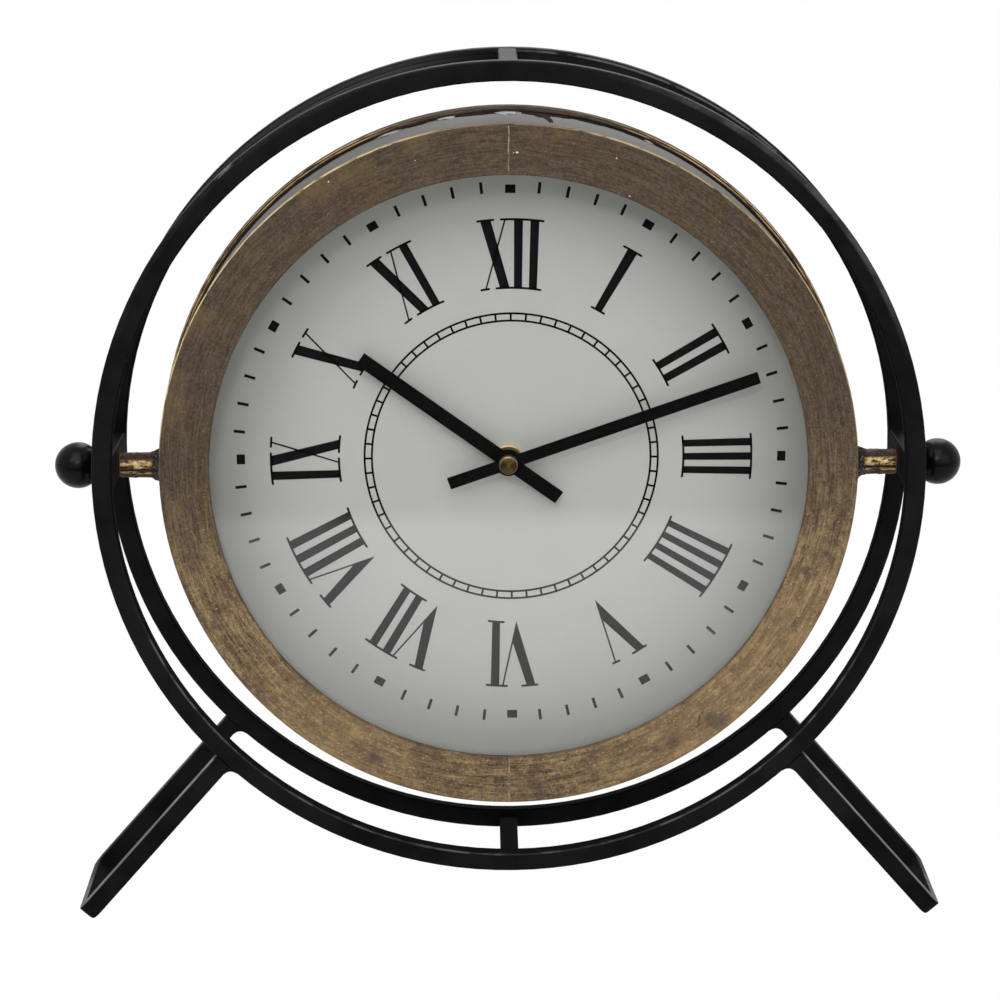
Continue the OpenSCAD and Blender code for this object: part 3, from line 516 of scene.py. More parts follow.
def dark_cover():
    """The back cover: matte dark brown paint, rolled on unevenly, rubbed along its rim."""
    f = Finish("dark_brown_cover")
    spot = f.place()
    at = f.parts(f.place((0, 0, case_z)))
    edge = cover_r / MM
    cloud = f.noise(spot, 22, 4)
    colour = f.mix(tone(50, 43, 37), tone(64, 55, 47), cloud.between(0.25, 0.75))
    rub = at.radius.between(edge - 6, edge - 0.5) * f.noise(spot, 7, 4, 0.65).between(0.42, 0.6)
    scuff = f.noise(f.place(stretch=(0.3, 1, 1)), 1.6, 4, 0.7).between(0.66, 0.76)
    colour = f.mix(colour, tone(104, 86, 62), (rub * 0.5).maths("MAXIMUM", scuff * 0.14))
    f.set(Base_Color=colour, Roughness=0.5 + 0.2 * cloud, Specular_IOR_Level=0.25)
    f.bump(f.noise(spot, 1.2, 2), 0.04 * MM, 0.5)
    return f.material


# Finishes of hands, movement and small pieces

def turned_metal(name, dark, light, rim, highlight_rim_r, line_r):
    """Metal turned on a lathe: rings round the hands' axis, a painted dark reflection across its sides,
    a dark turned line and a paler rim painted as a highlight.
    """
    f = Finish(name)
    spot = f.place((0, 0, case_z))
    at = f.parts(spot)
    rings = f.noise(f.vector(at.radius, 0.0, 0.0), 0.22, 2)
    stain = f.noise(spot, 2.6)
    # Painted reflection: a dark bow tie across the left and right of the turned face.
    dark_reflection_waist = (at.x.maths("ABSOLUTE") / (at.radius + 0.1)).between(0.6, 0.95) * at.radius.between(0.4, 1.2)
    colour = f.mix(dark, light, rings * 0.5 + stain * 0.5 - dark_reflection_waist * 0.35)
    # Painted highlight: a paler rim near the edge.
    colour = f.mix(colour, rim, at.radius.between(highlight_rim_r - 0.45, highlight_rim_r - 0.15) * 0.8)
    colour = f.mix(colour, tone(60, 44, 26), at.radius.near(line_r, 0.1, 0.25) * 0.75)
    f.set(Base_Color=colour, Roughness=0.22 + 0.2 * stain, Metallic=0.85)
    f.bump(rings, 0.02 * MM, 0.5)
    return f.material


def mottled(name, dark, light, size, roughness, spread=0.0, span=None, grain=None, **values):
    """A plain material: two tones that drift into each other, in sharper patches if it has a span.

    A spread lets the roughness drift too. A grain is its size, detail, depth and strength.
    """
    f = Finish(name)
    spot = f.place()
    cloud = f.noise(spot, size)
    drift = cloud.between(*span) if span else cloud
    f.set(Base_Color=f.mix(dark, light, drift), Roughness=roughness, **values)
    if spread:
        f.set(Roughness=roughness + spread * cloud)
    if grain:
        grain_size, detail, depth, strength = grain
        f.bump(f.noise(spot, grain_size, detail), depth * MM, strength)
    return f.material


def moulded(name, dark, light, grit):
    """Moulded plastic with a fine spark-eroded grain."""
    return mottled(name, dark, light, 7, 0.45, grain=(grit, 2, 0.02, 0.6), Specular_IOR_Level=0.4)


def circuit():
    """Green board with fine copper tracks under the varnish."""
    f = Finish("green_board")
    tracks = (f.parts(f.place()).z * 2.2).maths("SINE").between(0.86, 0.94)
    f.set(Base_Color=f.mix(tone(18, 66, 36), tone(60, 122, 66), tracks), Roughness=0.35)
    return f.material


def copper():
    """Fine enamelled wire: its turns show as rings along the coil."""
    f = Finish("enamelled_copper")
    turns = (f.parts(f.place()).z * 24).maths("SINE")
    f.set(Base_Color=f.mix(tone(120, 56, 26), tone(196, 112, 62), turns * 0.5 + 0.5),
          Roughness=0.35, Metallic=0.8)
    f.bump(turns, 0.05 * MM, 0.8)
    return f.material


def battery_sleeve():
    """A plain shrink sleeve: two tones split round the cell, with bare steel at its ends."""
    f = Finish("battery_sleeve")
    x = f.parts(f.place((0, 0, case_z))).x
    colour = f.mix(tone(34, 36, 38), tone(158, 116, 58), x.between(9.4, 9.6))
    bare = x.maths("ABSOLUTE").between(23.9, 24.1)
    f.set(Base_Color=f.mix(colour, tone(186, 186, 180), bare), Roughness=0.3 + 0.1 * bare,
          Metallic=0.2 + 0.7 * bare)
    return f.material


iron = black_iron()
knob_paint = black_knob()
patina = bezel_patina()
stub_metal = stub_bronze()
ink = mottled("printed_black_ink", tone(11, 11, 13), tone(18, 18, 20), 1.5, 0.6, Specular_IOR_Level=0.04)
seam_fill = mottled("filled_seam", tone(84, 74, 65), tone(136, 124, 109), 1.6, 0.6, span=(0.36, 0.58),
                    Specular_IOR_Level=0.12)
solder_grey = mottled("grey_solder", tone(112, 112, 110), tone(150, 152, 154), 1.6, 0.5,
                      grain=(1.6, 3, 0.1, 0.5), Metallic=0.2)
stain = mottled("dark_flux_stain", tone(9, 7, 6), tone(34, 25, 19), 1.5, 0.8, Specular_IOR_Level=0.05)
pale_splash = mottled("pale_paint_splash", tone(168, 156, 138), tone(214, 204, 188), 0.5, 0.6)
FINISHES = {
    "black_iron": iron,
    "black_knob": knob_paint,
    "plated_steel": mottled("zinc_plated_steel", tone(150, 150, 146), tone(196, 196, 190), 1.8, 0.3,
                            spread=0.2, grain=(0.5, 2, 0.01, 0.4), Metallic=0.9),
    "case_sheet": wall_sheet(),
    "aged_bronze": patina,
    "bronze_stub": stub_metal,
    "fibre": mottled("dark_red_fibre", tone(58, 24, 18), tone(92, 44, 32), 0.8, 0.75,
                     grain=(0.3, 2, 0.03, 0.6)),
    "clear_glass": clear_glass(),
    "black_rubber": mottled("black_rubber", tone(22, 22, 22), tone(34, 34, 34), 3, 0.85,
                            grain=(0.5, 3, 0.03, 0.5)),
    "pale_board": pale_card(),
    "dial_paint": dial_paint(),
    "dark_cover": dark_cover(),
    "movement_plastic": moulded("movement_black", tone(20, 20, 22), tone(32, 32, 34), 0.35),
    "board": circuit(),
    "copper_wire": copper(),
    "battery_sleeve": battery_sleeve(),
    # The third colour is the rim's painted highlight.
    "brass_parts": turned_metal("turned_brass", tone(176, 138, 78), tone(246, 216, 146),
                                tone(250, 228, 180), nut_r / MM, nut_r / MM - 0.9),
    "black_hands": mottled("hand_matte_black", tone(5, 5, 6), tone(10, 10, 11), 3, 0.5,
                           grain=(0.4, 2, 0.01, 0.4), Specular_IOR_Level=0.04),
    "wheel_plastic": moulded("natural_acetal", tone(206, 202, 186), tone(222, 218, 204), 0.5),
    "knob_plastic": moulded("knob_black", tone(26, 26, 28), tone(40, 40, 42), 0.3),
    "magnet": mottled("sintered_magnet", tone(70, 70, 72), tone(100, 100, 104), 0.5, 0.45, Metallic=0.6),
}
NODE_FINISHES = {
    "rear_ring": rim_bronze(),
    # The third colour is the rim's painted highlight.
    "cap_nut": turned_metal("turned_brown_brass", tone(52, 38, 24), tone(128, 104, 68),
                            tone(170, 148, 118), cap_r / MM, 0),
}


def dress_nodes():
    """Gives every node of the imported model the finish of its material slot, or one of its own."""
    for part in frame["record"]["subparts"]:
        node = nodes[part["node"]]
        finish = NODE_FINISHES.get(part["node"], FINISHES[part["material_slot"]])
        for place in node.material_slots:
            place.material = finish


# Modelling

def deselect():
    bpy.ops.object.select_all(action="DESELECT")


def use(piece):
    deselect()
    piece.select_set(True)
    bpy.context.view_layer.objects.active = piece


def all_in_edit(piece):
    use(piece)
    bpy.ops.object.mode_set(mode="EDIT")
    bpy.ops.mesh.select_all(action="SELECT")


def leave_edit():
    bpy.ops.object.mode_set(mode="OBJECT")


def flat_face(corners):
    """A flat face with these corners: a circle of as many points, moved onto them."""
    deselect()
    bpy.ops.mesh.primitive_circle_add(vertices=len(corners), fill_type="NGON")
    piece = bpy.context.active_object
    for vertex, corner in zip(piece.data.vertices, corners):
        vertex.co = corner
    return piece


def tidy_mesh(piece):
    """Merges doubles and turns every face outwards."""
    all_in_edit(piece)
    bpy.ops.mesh.remove_doubles(threshold=0.001 * MM)
    bpy.ops.mesh.normals_make_consistent(inside=False)
    leave_edit()


def extruded(corners, step):
    """A prism: a flat face with these corners, extruded by a step."""
    piece = flat_face(corners)
    all_in_edit(piece)
    bpy.ops.mesh.extrude_region_move(TRANSFORM_OT_translate={"value": step})
    leave_edit()
    tidy_mesh(piece)
    return piece


def spun(corners, centre, axis, steps):
    """A turned piece: the outline with these corners, spun right round an axis."""
    piece = flat_face(corners)
    all_in_edit(piece)
    bpy.ops.mesh.delete(type="ONLY_FACE")
    bpy.ops.mesh.select_all(action="SELECT")
    bpy.ops.mesh.spin(steps=steps, angle=math.tau, center=centre, axis=axis)
    leave_edit()
    tidy_mesh(piece)
    return piece


def joined(pieces):
    """One piece made of several."""
    deselect()
    for piece in pieces:
        piece.select_set(True)
    bpy.context.view_layer.objects.active = pieces[0]
    bpy.ops.object.join()
    return bpy.context.active_object


def ball(segments, rings, radius=1):
    """A ball at the origin."""
    deselect()
    bpy.ops.mesh.primitive_uv_sphere_add(segments=segments, ring_count=rings, radius=radius)
    return bpy.context.active_object


def finished(piece, name, body, material, smooth_deg=None):
    """Names a piece, gives it its finish and lets it ride on its body."""
    piece.name = name
    piece.data.name = name
    piece.data.materials.clear()
    piece.data.materials.append(material)
    if smooth_deg is not None:
        use(piece)
        bpy.ops.object.shade_smooth_by_angle(angle=math.radians(smooth_deg))
    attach(piece, body)


# The print on the dial. A point is a sideways place and a radius, seen from the front.
PRINT_X = 1.2 * MM
PRINT_UP = 0.45 * MM
PRINT_TURN_DEG = -0.12
INK_T = 0.08 * MM
INK_SUNK = 0.03 * MM
NUMERAL_FOOT = 65.6 * MM
NUMERAL_TOP = 92.5 * MM
NUMERAL_MIDDLE = (NUMERAL_FOOT + NUMERAL_TOP) / 2
SERIF_T = 0.85 * MM
SERIF_OVER = 1.9 * MM
FAN = 0.05
STEM_W = 3.2 * MM
PITCH = 5.9 * MM
HAIR_W = 0.65 * MM
THICK_W = 3.8 * MM

# The fan, stem width and pitch of one to four plain stems
ONES = {
    1: (0.16, 3.5 * MM, PITCH),
    2: (FAN, STEM_W, PITCH),
    3: (FAN, 2.85 * MM, 5.45 * MM),
    4: (0.08, 2.75 * MM, 5.45 * MM),
}


def on_dial(side, radius, hour_deg, depth):
    """The place of a dial point, for a numeral that stands at an hour's angle."""
    angle = math.radians(hour_deg + PRINT_TURN_DEG) + side / radius
    across, up = radius * math.sin(angle), radius * math.cos(angle)
    return Vector((PRINT_X + across, depth, case_z + PRINT_UP + up))


def printed(points, hour_deg):
    """Ink with this outline of dial points, a little sunk into the paint."""
    corners = [on_dial(side, radius, hour_deg, dial_face + INK_SUNK) for side, radius in points]
    return extruded(corners, (0, -INK_T, 0))


def round_end(side, radius, half, start):
    """Dial points of half a circle round a dial point, turned clockwise, without its two ends."""
    turns = [start - math.pi * k / 6 for k in range(1, 6)]
    return [(side + half * math.cos(turn), radius + half * math.sin(turn)) for turn in turns]


def upright(half, low, high):
    """Dial points of a bar that points at the middle of the dial."""
    return [(-half, low), (-half, high), (half, high), (half, low)]


class Numeral:
    """A numeral's strokes, gathered from left to right and centred on its hour."""

    def __init__(self, hour, fan=FAN):
        self.hour = hour
        self.fan = fan
        self.outlines = []

    def stroke(self, foot, top, width):
        """A stem from a sideways place at the foot to one at the top."""
        low = NUMERAL_FOOT + SERIF_T / 2
        high = NUMERAL_TOP - SERIF_T / 2
        half = width / 2
        left = [(foot - half, low), (top - half, high)]
        right = [(top + half, high), (foot + half, low)]
        self.outlines.append(left + right)

    def serif(self, left, right, at_top):
        """A thin bar that follows a circle round the dial, with round ends."""
        middle = (NUMERAL_TOP if at_top else NUMERAL_FOOT + SERIF_T) - SERIF_T / 2
        half = SERIF_T / 2
        steps = max(2, round((right - left) / MM))
        run = [left + half + (right - left - 2 * half) * k / steps for k in range(steps + 1)]
        outline = [(side, middle + half) for side in run]
        outline += round_end(right - half, middle, half, math.pi / 2)
        outline += [(side, middle - half) for side in reversed(run)]
        outline += round_end(left + half, middle, half, -math.pi / 2)
        self.outlines.append(outline)

    def printed(self):
        sides = [side for outline in self.outlines for side, radius in outline]
        centre = (min(sides) + max(sides)) / 2
        pieces = []
        for outline in self.outlines:
            points = []
            for side, radius in outline:
                spread = 1 + self.fan * (radius - NUMERAL_MIDDLE) / (NUMERAL_TOP - NUMERAL_MIDDLE)
                points.append(((side - centre) * spread, radius))
            pieces.append(printed(points, self.hour * 30))
        return pieces


def add_stems(numeral, first, count, foot_left=None, top_left=None, width=STEM_W, pitch=PITCH):
    """Plain stems on shared serifs, which may reach further left to join a neighbour's."""
    last = first + (count - 1) * pitch
    for k in range(count):
        numeral.stroke(first + k * pitch, first + k * pitch, width)
    over = SERIF_OVER + width / 2
    for at_top, left in ((False, foot_left), (True, top_left)):
        numeral.serif(first - over if left is None else left, last + over, at_top)


def numeral_ones(hour, count):
    """Plain stems, with the fan, the width and the pitch that go with their number."""
    fan, width, pitch = ONES[count]
    numeral = Numeral(hour, fan)
    add_stems(numeral, 0, count, width=width, pitch=pitch)
    return numeral.printed()


def numeral_five(hour, ones):
    """V with its apex at the foot, then stems."""
    numeral = Numeral(hour)
    thick_left, thick_right = -6.95 * MM, -3.7 * MM
    hair_left, hair_right = 5.0 * MM, 5.6 * MM
    thick_serif_left, thick_serif_right = -8.1 * MM, -1.6 * MM
    hair_serif_left, hair_serif_right = 3.35 * MM, 6.75 * MM
    inner, rise = 1.4 * MM, 9 * MM
    low, high = NUMERAL_FOOT, NUMERAL_TOP - SERIF_T / 2
    numeral.outlines.append([(0, low), (thick_left, high), (thick_right, high), (inner, low + rise)])
    numeral.outlines.append([(0, low), (inner, low + rise), (hair_left, high), (hair_right, high)])
    numeral.serif(thick_serif_left, thick_serif_right, True)
    if ones:
        add_stems(numeral, 8.2 * MM, ones, top_left=hair_serif_left)
    else:
        numeral.serif(hair_serif_left, hair_serif_right, True)
    return numeral.printed()


def numeral_ten(hour, before=0, after=0):
    """X, with a stem before it or stems after it."""
    numeral = Numeral(hour)
    thick_top, thick_foot = -9.1 * MM, -2.35 * MM
    hair_top, hair_foot = -2.0 * MM, -9.9 * MM
    numeral.stroke(thick_foot, thick_top, THICK_W)
    numeral.stroke(hair_foot, hair_top, HAIR_W)
    thick_top_left, thick_top_right = -12.4 * MM, -5.8 * MM
    hair_foot_left, hair_foot_right = -12.1 * MM, -8.2 * MM
    if before:
        stem = thick_top - 5.6 * MM
        numeral.stroke(stem, stem, STEM_W)
        left = stem - STEM_W / 2 - SERIF_OVER
        numeral.serif(left, thick_top_right, True)
        numeral.serif(left, hair_foot_right + 0.4 * MM, False)
    else:
        numeral.serif(thick_top_left, thick_top_right, True)
        numeral.serif(hair_foot_left, hair_foot_right, False)
    if after:
        add_stems(numeral, 2.85 * MM, after, foot_left=-6.1 * MM, top_left=-3.9 * MM)
    else:
        numeral.serif(hair_top - 2.1 * MM, hair_top + 2.1 * MM, True)
        numeral.serif(thick_foot - 3.75 * MM, thick_foot + 3.75 * MM, False)
    return numeral.printed()


MARK_R = 104.4 * MM
MARK_W = 1.15 * MM
MARK_LEN = 4.35 * MM
SQUARE_R = 103.6 * MM
SQUARE_W = 3.9 * MM
SQUARE_LEN = 3.2 * MM


def minute_mark(minute):
    """A square at each hour and a short line at the other minutes."""
    at_hour = minute % 5 == 0
    radius = SQUARE_R if at_hour else MARK_R
    half = (SQUARE_W if at_hour else MARK_W) / 2
    reach = (SQUARE_LEN if at_hour else MARK_LEN) / 2
    return printed(upright(half, radius - reach, radius + reach), minute * 6)


TRACK_OUTER = 56.2 * MM
TRACK_INNER = 53.4 * MM
TRACK_LINE = 0.78 * MM
TICK_W = 0.8 * MM
RING_STEPS = 180


def track_ring(radius):
    """One line of the minute track."""
    left, right = PRINT_X + radius - TRACK_LINE / 2, PRINT_X + radius + TRACK_LINE / 2
    face, back = dial_face + INK_SUNK - INK_T, dial_face + INK_SUNK
    middle = case_z + PRINT_UP
    corners = [(left, face, middle), (right, face, middle), (right, back, middle), (left, back, middle)]
    return spun(corners, (PRINT_X, face, middle), (0, 1, 0), RING_STEPS)


def dial_print():
    """Numerals, minute marks and the minute track."""
    numerals = numeral_ones(1, 1) + numeral_ones(2, 2) + numeral_ones(3, 3) + numeral_ones(4, 4)
    numerals += numeral_five(5, 0) + numeral_five(6, 1) + numeral_five(7, 2) + numeral_five(8, 3)
    numerals += numeral_ten(9, before=1) + numeral_ten(10) + numeral_ten(11, after=1)
    numerals += numeral_ten(12, after=2)
    finished(joined(numerals), "dial_numerals", "case", ink)
    marks = [minute_mark(minute) for minute in range(60)]
    finished(joined(marks), "minute_marks", "case", ink)
    track = [track_ring(TRACK_OUTER), track_ring(TRACK_INNER)]
    tick = upright(TICK_W / 2, TRACK_INNER, TRACK_OUTER)
    track += [printed(tick, minute * 6) for minute in range(60)]
    finished(joined(track), "minute_track", "case", ink)


# Smooth pieces that stand for faceted ones

def ball_profile(ball_r, start, centre_x):
    """Half a ball's outline from its flat to its pole, as places along and off the tilt axis."""
    steps = 28
    angles = [start + (math.pi - start) * k / steps for k in range(steps + 1)]
    return [(centre_x - ball_r * math.cos(angle), ball_r * math.sin(angle)) for angle in angles]


def ball_knobs():
    """Turned ball knobs, smooth, with the small flat towards the lug."""
    ball_r = (knob_high.z - knob_low.z) / 2
    centre = knob_high.x - ball_r
    flat = math.acos(min(1, (centre - knob_low.x) / ball_r))
    hole_r, pole_r = 2 * MM, 0.02 * MM
    for side, name in ((-1, "left"), (1, "right")):
        outline = ball_profile(ball_r, flat, centre)
        outline = [(knob_low.x, hole_r)] + outline[:-1] + [(outline[-1][0], pole_r)]
        outline += [(centre + hole_r, pole_r), (centre + hole_r, hole_r)]
        corners = [(side * along, 0, case_z + off) for along, off in outline]
        knob = spun(corners, (0, 0, case_z), (1, 0, 0), 64)
        finished(knob, name + "_ball_knob", name + "_ball", knob_paint, 40)
        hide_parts(name + "_knob")


STUB_R = 4.8 * MM
STUB_SUNK = 0.9 * MM
FLARE_R = 7.4 * MM
FLARE_LEN = 5.5 * MM
BORE_R = 2.05 * MM


def rough(point, size, height):
    """A bumpy push at a place, the same on every run."""
    return height * noise.fractal(point / size, 0.6, 2.0, 3)


def pivot_stubs():
    """Round stubs, lumpy from brazing, each with a ragged flare of weld on the case."""
    length = stub_high.x - case_r
    steps = 40
    for side, name in ((-1, "left"), (1, "right")):
        outline = [(case_r - STUB_SUNK, BORE_R), (case_r - STUB_SUNK, FLARE_R)]
        for k in range(steps + 1):
            share = k / steps
            flare = (FLARE_R - STUB_R) * max(0, 1 - share * length / FLARE_LEN) ** 1.5
            outline.append((case_r + share * length, STUB_R + flare))
        outline.append((stub_high.x, BORE_R))
        corners = [(side * along, 0, case_z + off) for along, off in outline]
        stub = spun(corners, (0, 0, case_z), (1, 0, 0), 72)
        for vertex in stub.data.vertices:
            off = Vector((0, vertex.co.y, vertex.co.z - case_z))
            if off.length < 3 * MM:
                continue
            along = abs(vertex.co.x) - case_r
            weld = max(0, 1 - along / FLARE_LEN)
            end = min(1, max(0, (length - along) / (1.5 * MM)))
            push = rough(vertex.co, 1.8 * MM, 0.22 * MM * end)
            push += rough(vertex.co, 2.0 * MM, 1.3 * MM * weld)
            vertex.co += off.normalized() * push
        finished(stub, name + "_brazed_stub", "case", stub_metal, 60)
        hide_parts(name + "_stub")


# Welds on the stand

def weld_bead(start, end, radius):
    """A lumpy bead along the corner between two bars, half sunk in both."""
    run = end - start
    ahead = run.normalized()
    middle = (start + end) / 2
    reach = run.length / 2 + radius * 0.4
    turn = run.to_track_quat("Z", "Y").to_matrix().to_4x4()
    bead = ball(14, 18)
    bead.data.transform(Matrix.Translation(middle) @ turn @ Matrix.Diagonal((radius, radius, reach, 1)))
    for vertex in bead.data.vertices:
        along = (vertex.co - middle).dot(ahead)
        off = vertex.co - middle - ahead * along
        ripple = 0.1 * radius * math.sin(along / (0.45 * MM))
        vertex.co += off.normalized() * (ripple + rough(vertex.co, 1.1 * MM, 0.25 * radius))
    return bead


def radial(bearing, radius, side, depth):
    """A point on a line out of the hoops' centre, at a bearing from straight up, moved sideways."""
    out = Vector((math.sin(bearing), 0, math.cos(bearing)))
    across = Vector((math.cos(bearing), 0, -math.sin(bearing)))
    return out * radius + across * side + Vector((0, depth, hoop_z))


HOOP_T = 5 * MM
BEAD_R = 0.8 * MM


def post_welds():
    """Small beads where the cross posts and the pivot lugs meet the inner sides of the hoops."""
    beads = []
    for bearing in (0, math.pi):
        for depth in (hoop_high.y, back_hoop_low.y):
            for side in (-1, 1):
                low = radial(bearing, hoop_r - HOOP_T, side * bar_w / 2, depth)
                high = radial(bearing, hoop_r - BEAD_R, side * bar_w / 2, depth)
                beads.append(weld_bead(low, high, BEAD_R))
    for side in (-1, 1):
        inner, outer = side * lug_low.x, side * (hoop_r - BEAD_R)
        for depth in (hoop_high.y, back_hoop_low.y):
            start, end = Vector((inner, depth, lug_low.z)), Vector((outer, depth, lug_low.z))
            beads.append(weld_bead(start, end, BEAD_R))
    finished(joined(beads), "post_welds", "stand", iron, 60)


# Joints in the sheet of the case

SEAM_W = 0.5 * MM
SEAM_T = 0.06 * MM


def bezel_seams():
    """The two filled joints of the bezel, thin and a little proud, not quite straight."""
    strips = []
    for side, drift in ((1, 0.14 * MM), (-1, -0.1 * MM)):
        deselect()
        bpy.ops.mesh.primitive_grid_add(x_subdivisions=2, y_subdivisions=40, size=1)
        strip = bpy.context.active_object
        for vertex in strip.data.vertices:
            share = vertex.co.y + 0.5
            radius = bezel_inner_r + 0.3 * MM + (case_r - bezel_inner_r - 0.8 * MM) * share
            wander = rough(Vector((side, share * 3, 0)), 1, 0.25 * MM) + drift
            width = SEAM_W * (1 + 0.5 * noise.noise(Vector((share * 6, side, 2))))
            vertex.co = (vertex.co.x * width + wander, bezel_face + SEAM_T / 2, case_z + side * radius)
        all_in_edit(strip)
        bpy.ops.mesh.extrude_region_move(TRANSFORM_OT_translate={"value": (0, -SEAM_T, 0)})
        leave_edit()
        tidy_mesh(strip)
        strips.append(strip)
    finished(joined(strips), "bezel_seams", "case", seam_fill, 30)


# Bearings from the top in degrees. Lengths and widths in millimetres.
SOLDER_LUMPS = ((0.1, 9, 8), (-10, 7, 7), (-20, 9, 6), (24, 4, 3), (152, 9, 4), (214, 7, 3.5))
FLUX_STAINS = ((-33, 15, 2.4), (-15, 8, 5), (-5, 17, 6), (5, 13, 8), (8.8, 8, 6.5), (14, 12, 4),
               (23, 14, 2.8), (33, 18, 2), (48, 20, 1.5), (-50, 22, 2), (75, 24, 1.8), (-80, 22, 1.8),
               (110, 20, 1.8), (250, 24, 1.8), (180, 22, 1.8), (200, 18, 1.8))
RIM_JOINT = case_high.y + 0.6 * MM
SOLDER_Y = RIM_JOINT - 2.0 * MM
SOLDER_T = 0.5 * MM
FLUX_Y = RIM_JOINT - 1.4 * MM
FLUX_T = 0.36 * MM
LUMP_BACK = ring_high.y - 1.6 * MM
# These rows go on with depth, height and slant in metres
CRACKS = ((6.4, 2.4, 26, RIM_JOINT - 9 * MM, 0.16 * MM, -1.6 * MM),
          (5.9, 5, 12, RIM_JOINT - 5 * MM, 0.2 * MM, 1.2 * MM))


def lump(bearing_deg, length_mm, width_mm, depth, height, slant=0.0):
    """A flat ragged lump on the drum, squeezed together where the rear beads would bury it."""
    bearing = math.radians(bearing_deg)
    piece = ball(48, 16)
    for vertex in piece.data.vertices:
        bump = 1 + 0.6 * noise.noise(vertex.co * 2.3 + Vector((bearing_deg, 0, 0)))
        angle = bearing + (vertex.co.x * bump * length_mm * MM / 2 + vertex.co.y * slant) / case_r
        radius = case_r + vertex.co.z * height
        across = depth + vertex.co.y * bump * width_mm * MM / 2
        past = max(0, across - LUMP_BACK)
        vertex.co = (radius * math.sin(angle), across - 0.95 * past, case_z + radius * math.cos(angle))
    return piece


def rim_joint():
    """Solder and dark flux where the drum's sheet meets the rear beads, and two cracks in its wash."""
    patches = [lump(*spot, SOLDER_Y, SOLDER_T) for spot in SOLDER_LUMPS]
    finished(joined(patches), "solder_patches", "case", solder_grey, 60)
    marks = [lump(*spot, FLUX_Y, FLUX_T) for spot in FLUX_STAINS] + [lump(*crack) for crack in CRACKS]
    finished(joined(marks), "flux_stains", "case", stain, 60)


SPECK_T = 0.2 * MM
# Each speck's sideways place, height above the axis, length and width, in millimetres
SPECK_SPOTS = ((3.2, 120.8, 1.1, 0.65), (1.9, 120.7, 0.5, 0.3), (-65.7, 110.3, 0.7, 0.6),
               (39.5, 118.5, 0.7, 0.5), (44.4, 104.6, 0.6, 0.5), (-34, 118, 0.35, 0.35))


def paint_specks():
    """Tiny splashes of pale paint on the bezel."""
    specks = []
    for across, up, length, width in SPECK_SPOTS:
        speck = ball(12, 8, 0.5)
        for vertex in speck.data.vertices:
            bump = 1 + 0.5 * noise.noise(vertex.co * 3 + Vector((across, 0, 0)))
            x = vertex.co.x * bump * length * MM
            y = vertex.co.y * SPECK_T
            z = vertex.co.z * bump * width * MM
            vertex.co = (across * MM + x, bezel_face + y, case_z + up * MM + z)
        specks.append(speck)
    finished(joined(specks), "paint_specks", "case", pale_splash, 60)


# The stage, the camera and the lamps

TABLE_EDGE = -0.60
EDGE_BLUR = 0.028
FLOOR_GLOW = 0.985
WORLD_LEVEL = 0.56
CAMERA_PLACE = (-0.01239, -1.0513, hoop_z + 0.2615)
CAMERA_TURNS = ((-0.50, "Z"), (75.31, "X"), (-0.15, "Z"))
CAMERA_LENS_MM = 102.35

# Each lamp's place, size and power
LAMPS = {
    "key_lamp": ((-0.18, -0.95, 1.42), 1.3, 14),
    "fill_lamp": ((0.9, -1.2, 0.8), 1.2, 5),
    "back_lamp": ((0.2, 1.0, 1.2), 1.0, 8),
    "spark_lamp": ((-0.12, -1.25, 0.85), 0.16, 3.2),
    "side_spark_lamp": ((-0.75, -1.0, 1.0), 0.12, 1.4),
}


def stage_floor():
    """A pale floor. Beyond the table's front edge its mirror image in the glass is dark."""
    deselect()
    bpy.ops.mesh.primitive_plane_add(size=12)
    floor = bpy.context.active_object
    floor.name = "floor"
    f = Finish("pale_floor")
    y = f.parts(f.place()).y
    rays = f.tree.nodes.new("ShaderNodeLightPath").outputs
    camera_ray = Signal(f, rays["Is Camera Ray"])
    gloss_ray = Signal(f, rays["Is Glossy Ray"])
    beyond = y.between((TABLE_EDGE + EDGE_BLUR) / MM, (TABLE_EDGE - EDGE_BLUR) / MM)
    colour = f.mix(tone(244, 244, 244), tone(20, 20, 20), beyond * gloss_ray)
    paint = f.add("ShaderNodeBsdfDiffuse", {}, {"Color": colour})
    glow = f.add("ShaderNodeEmission", {}, {"Color": tone(255, 255, 255), "Strength": 1.0})
    f.surface(f.add("ShaderNodeMixShader", {}, (camera_ray * FLOOR_GLOW, paint, glow)))
    floor.data.materials.append(f.material)


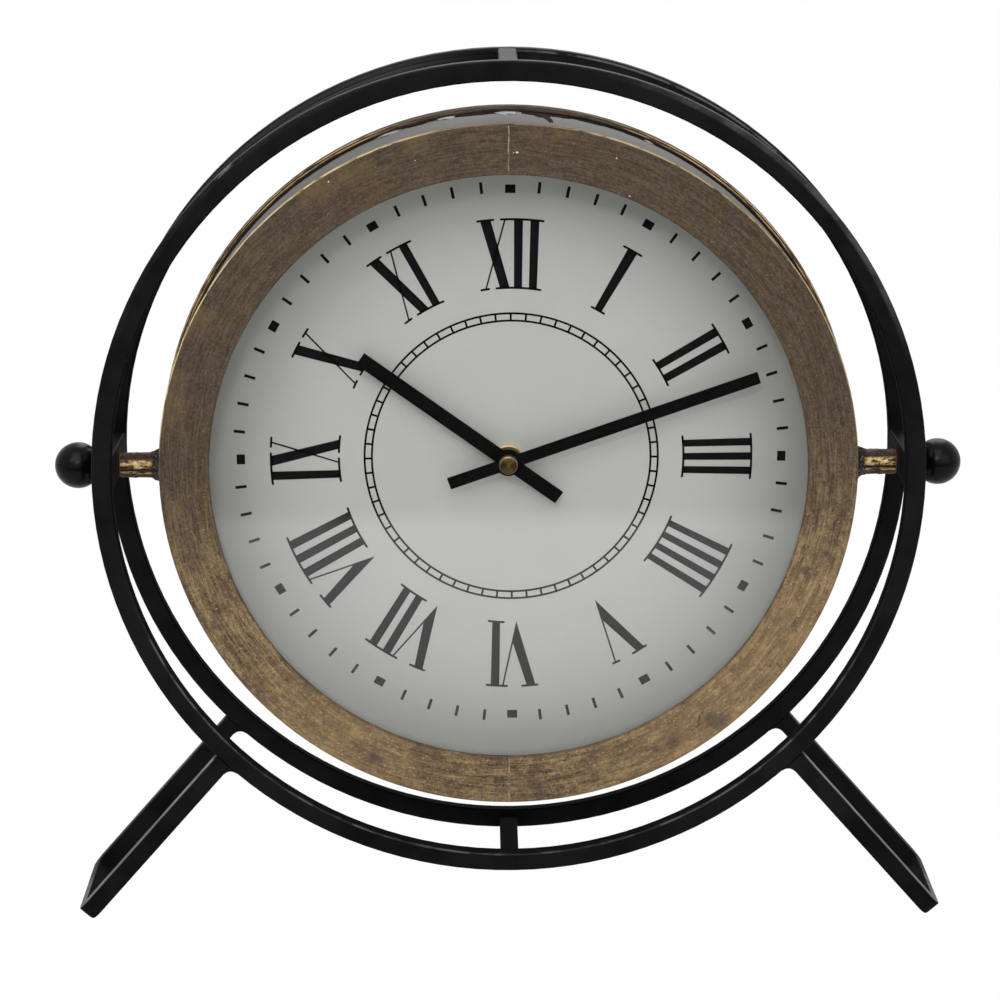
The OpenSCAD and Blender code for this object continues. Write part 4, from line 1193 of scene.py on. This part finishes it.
def stage_world():
    """White behind the clock and in its reflections, and a plain soft level of light on it."""
    world = bpy.data.worlds.new("studio")
    bpy.context.scene.world = world
    world.use_nodes = True
    tree = world.node_tree
    rays = tree.nodes.new("ShaderNodeLightPath").outputs
    seen = rays["Is Camera Ray"]
    for kind in ("Is Glossy Ray", "Is Transmission Ray"):
        either = tree.nodes.new("ShaderNodeMath")
        either.operation = "MAXIMUM"
        tree.links.new(seen, either.inputs[0])
        tree.links.new(rays[kind], either.inputs[1])
        seen = either.outputs[0]
    level = tree.nodes.new("ShaderNodeMapRange")
    level.inputs["To Min"].default_value = WORLD_LEVEL
    level.inputs["To Max"].default_value = 1.0
    tree.links.new(seen, level.inputs["Value"])
    tree.links.new(level.outputs[0], tree.nodes["Background"].inputs["Strength"])
    tree.nodes["Background"].inputs["Color"].default_value = tone(255, 255, 255)


def staged(name, data, place, turn):
    """A lamp or a camera with this place and turn."""
    piece = bpy.data.objects.new(name, data)
    piece.location = place
    piece.rotation_mode = "QUATERNION"
    piece.rotation_quaternion = turn
    bpy.context.scene.collection.objects.link(piece)
    return piece


def lamp(name, place, size, power):
    """A soft square lamp that looks at the dial."""
    data = bpy.data.lights.new(name, "AREA")
    data.size = size
    data.energy = power
    aim = Vector((0, 0, case_z)) - Vector(place)
    staged(name, data, place, aim.to_track_quat("-Z", "Y"))


def stage_camera():
    """The photograph's viewpoint, solved from the rings of the stand and the dial."""
    data = bpy.data.cameras.new("camera")
    data.sensor_width = 36
    data.lens = CAMERA_LENS_MM
    turn = Matrix.Identity(4)
    for angle_deg, axis in CAMERA_TURNS:
        turn = turn @ Matrix.Rotation(math.radians(angle_deg), 4, axis)
    bpy.context.scene.camera = staged("camera", data, CAMERA_PLACE, turn.to_quaternion())


stage_camera()
stage_world()
stage_floor()
for lamp_name, (lamp_place, lamp_size, lamp_power) in LAMPS.items():
    lamp(lamp_name, lamp_place, lamp_size, lamp_power)
bpy.context.scene.view_settings.view_transform = "Standard"
dress_nodes()
dial_print()
ball_knobs()
pivot_stubs()
post_welds()
bezel_seams()
rim_joint()
paint_specks()
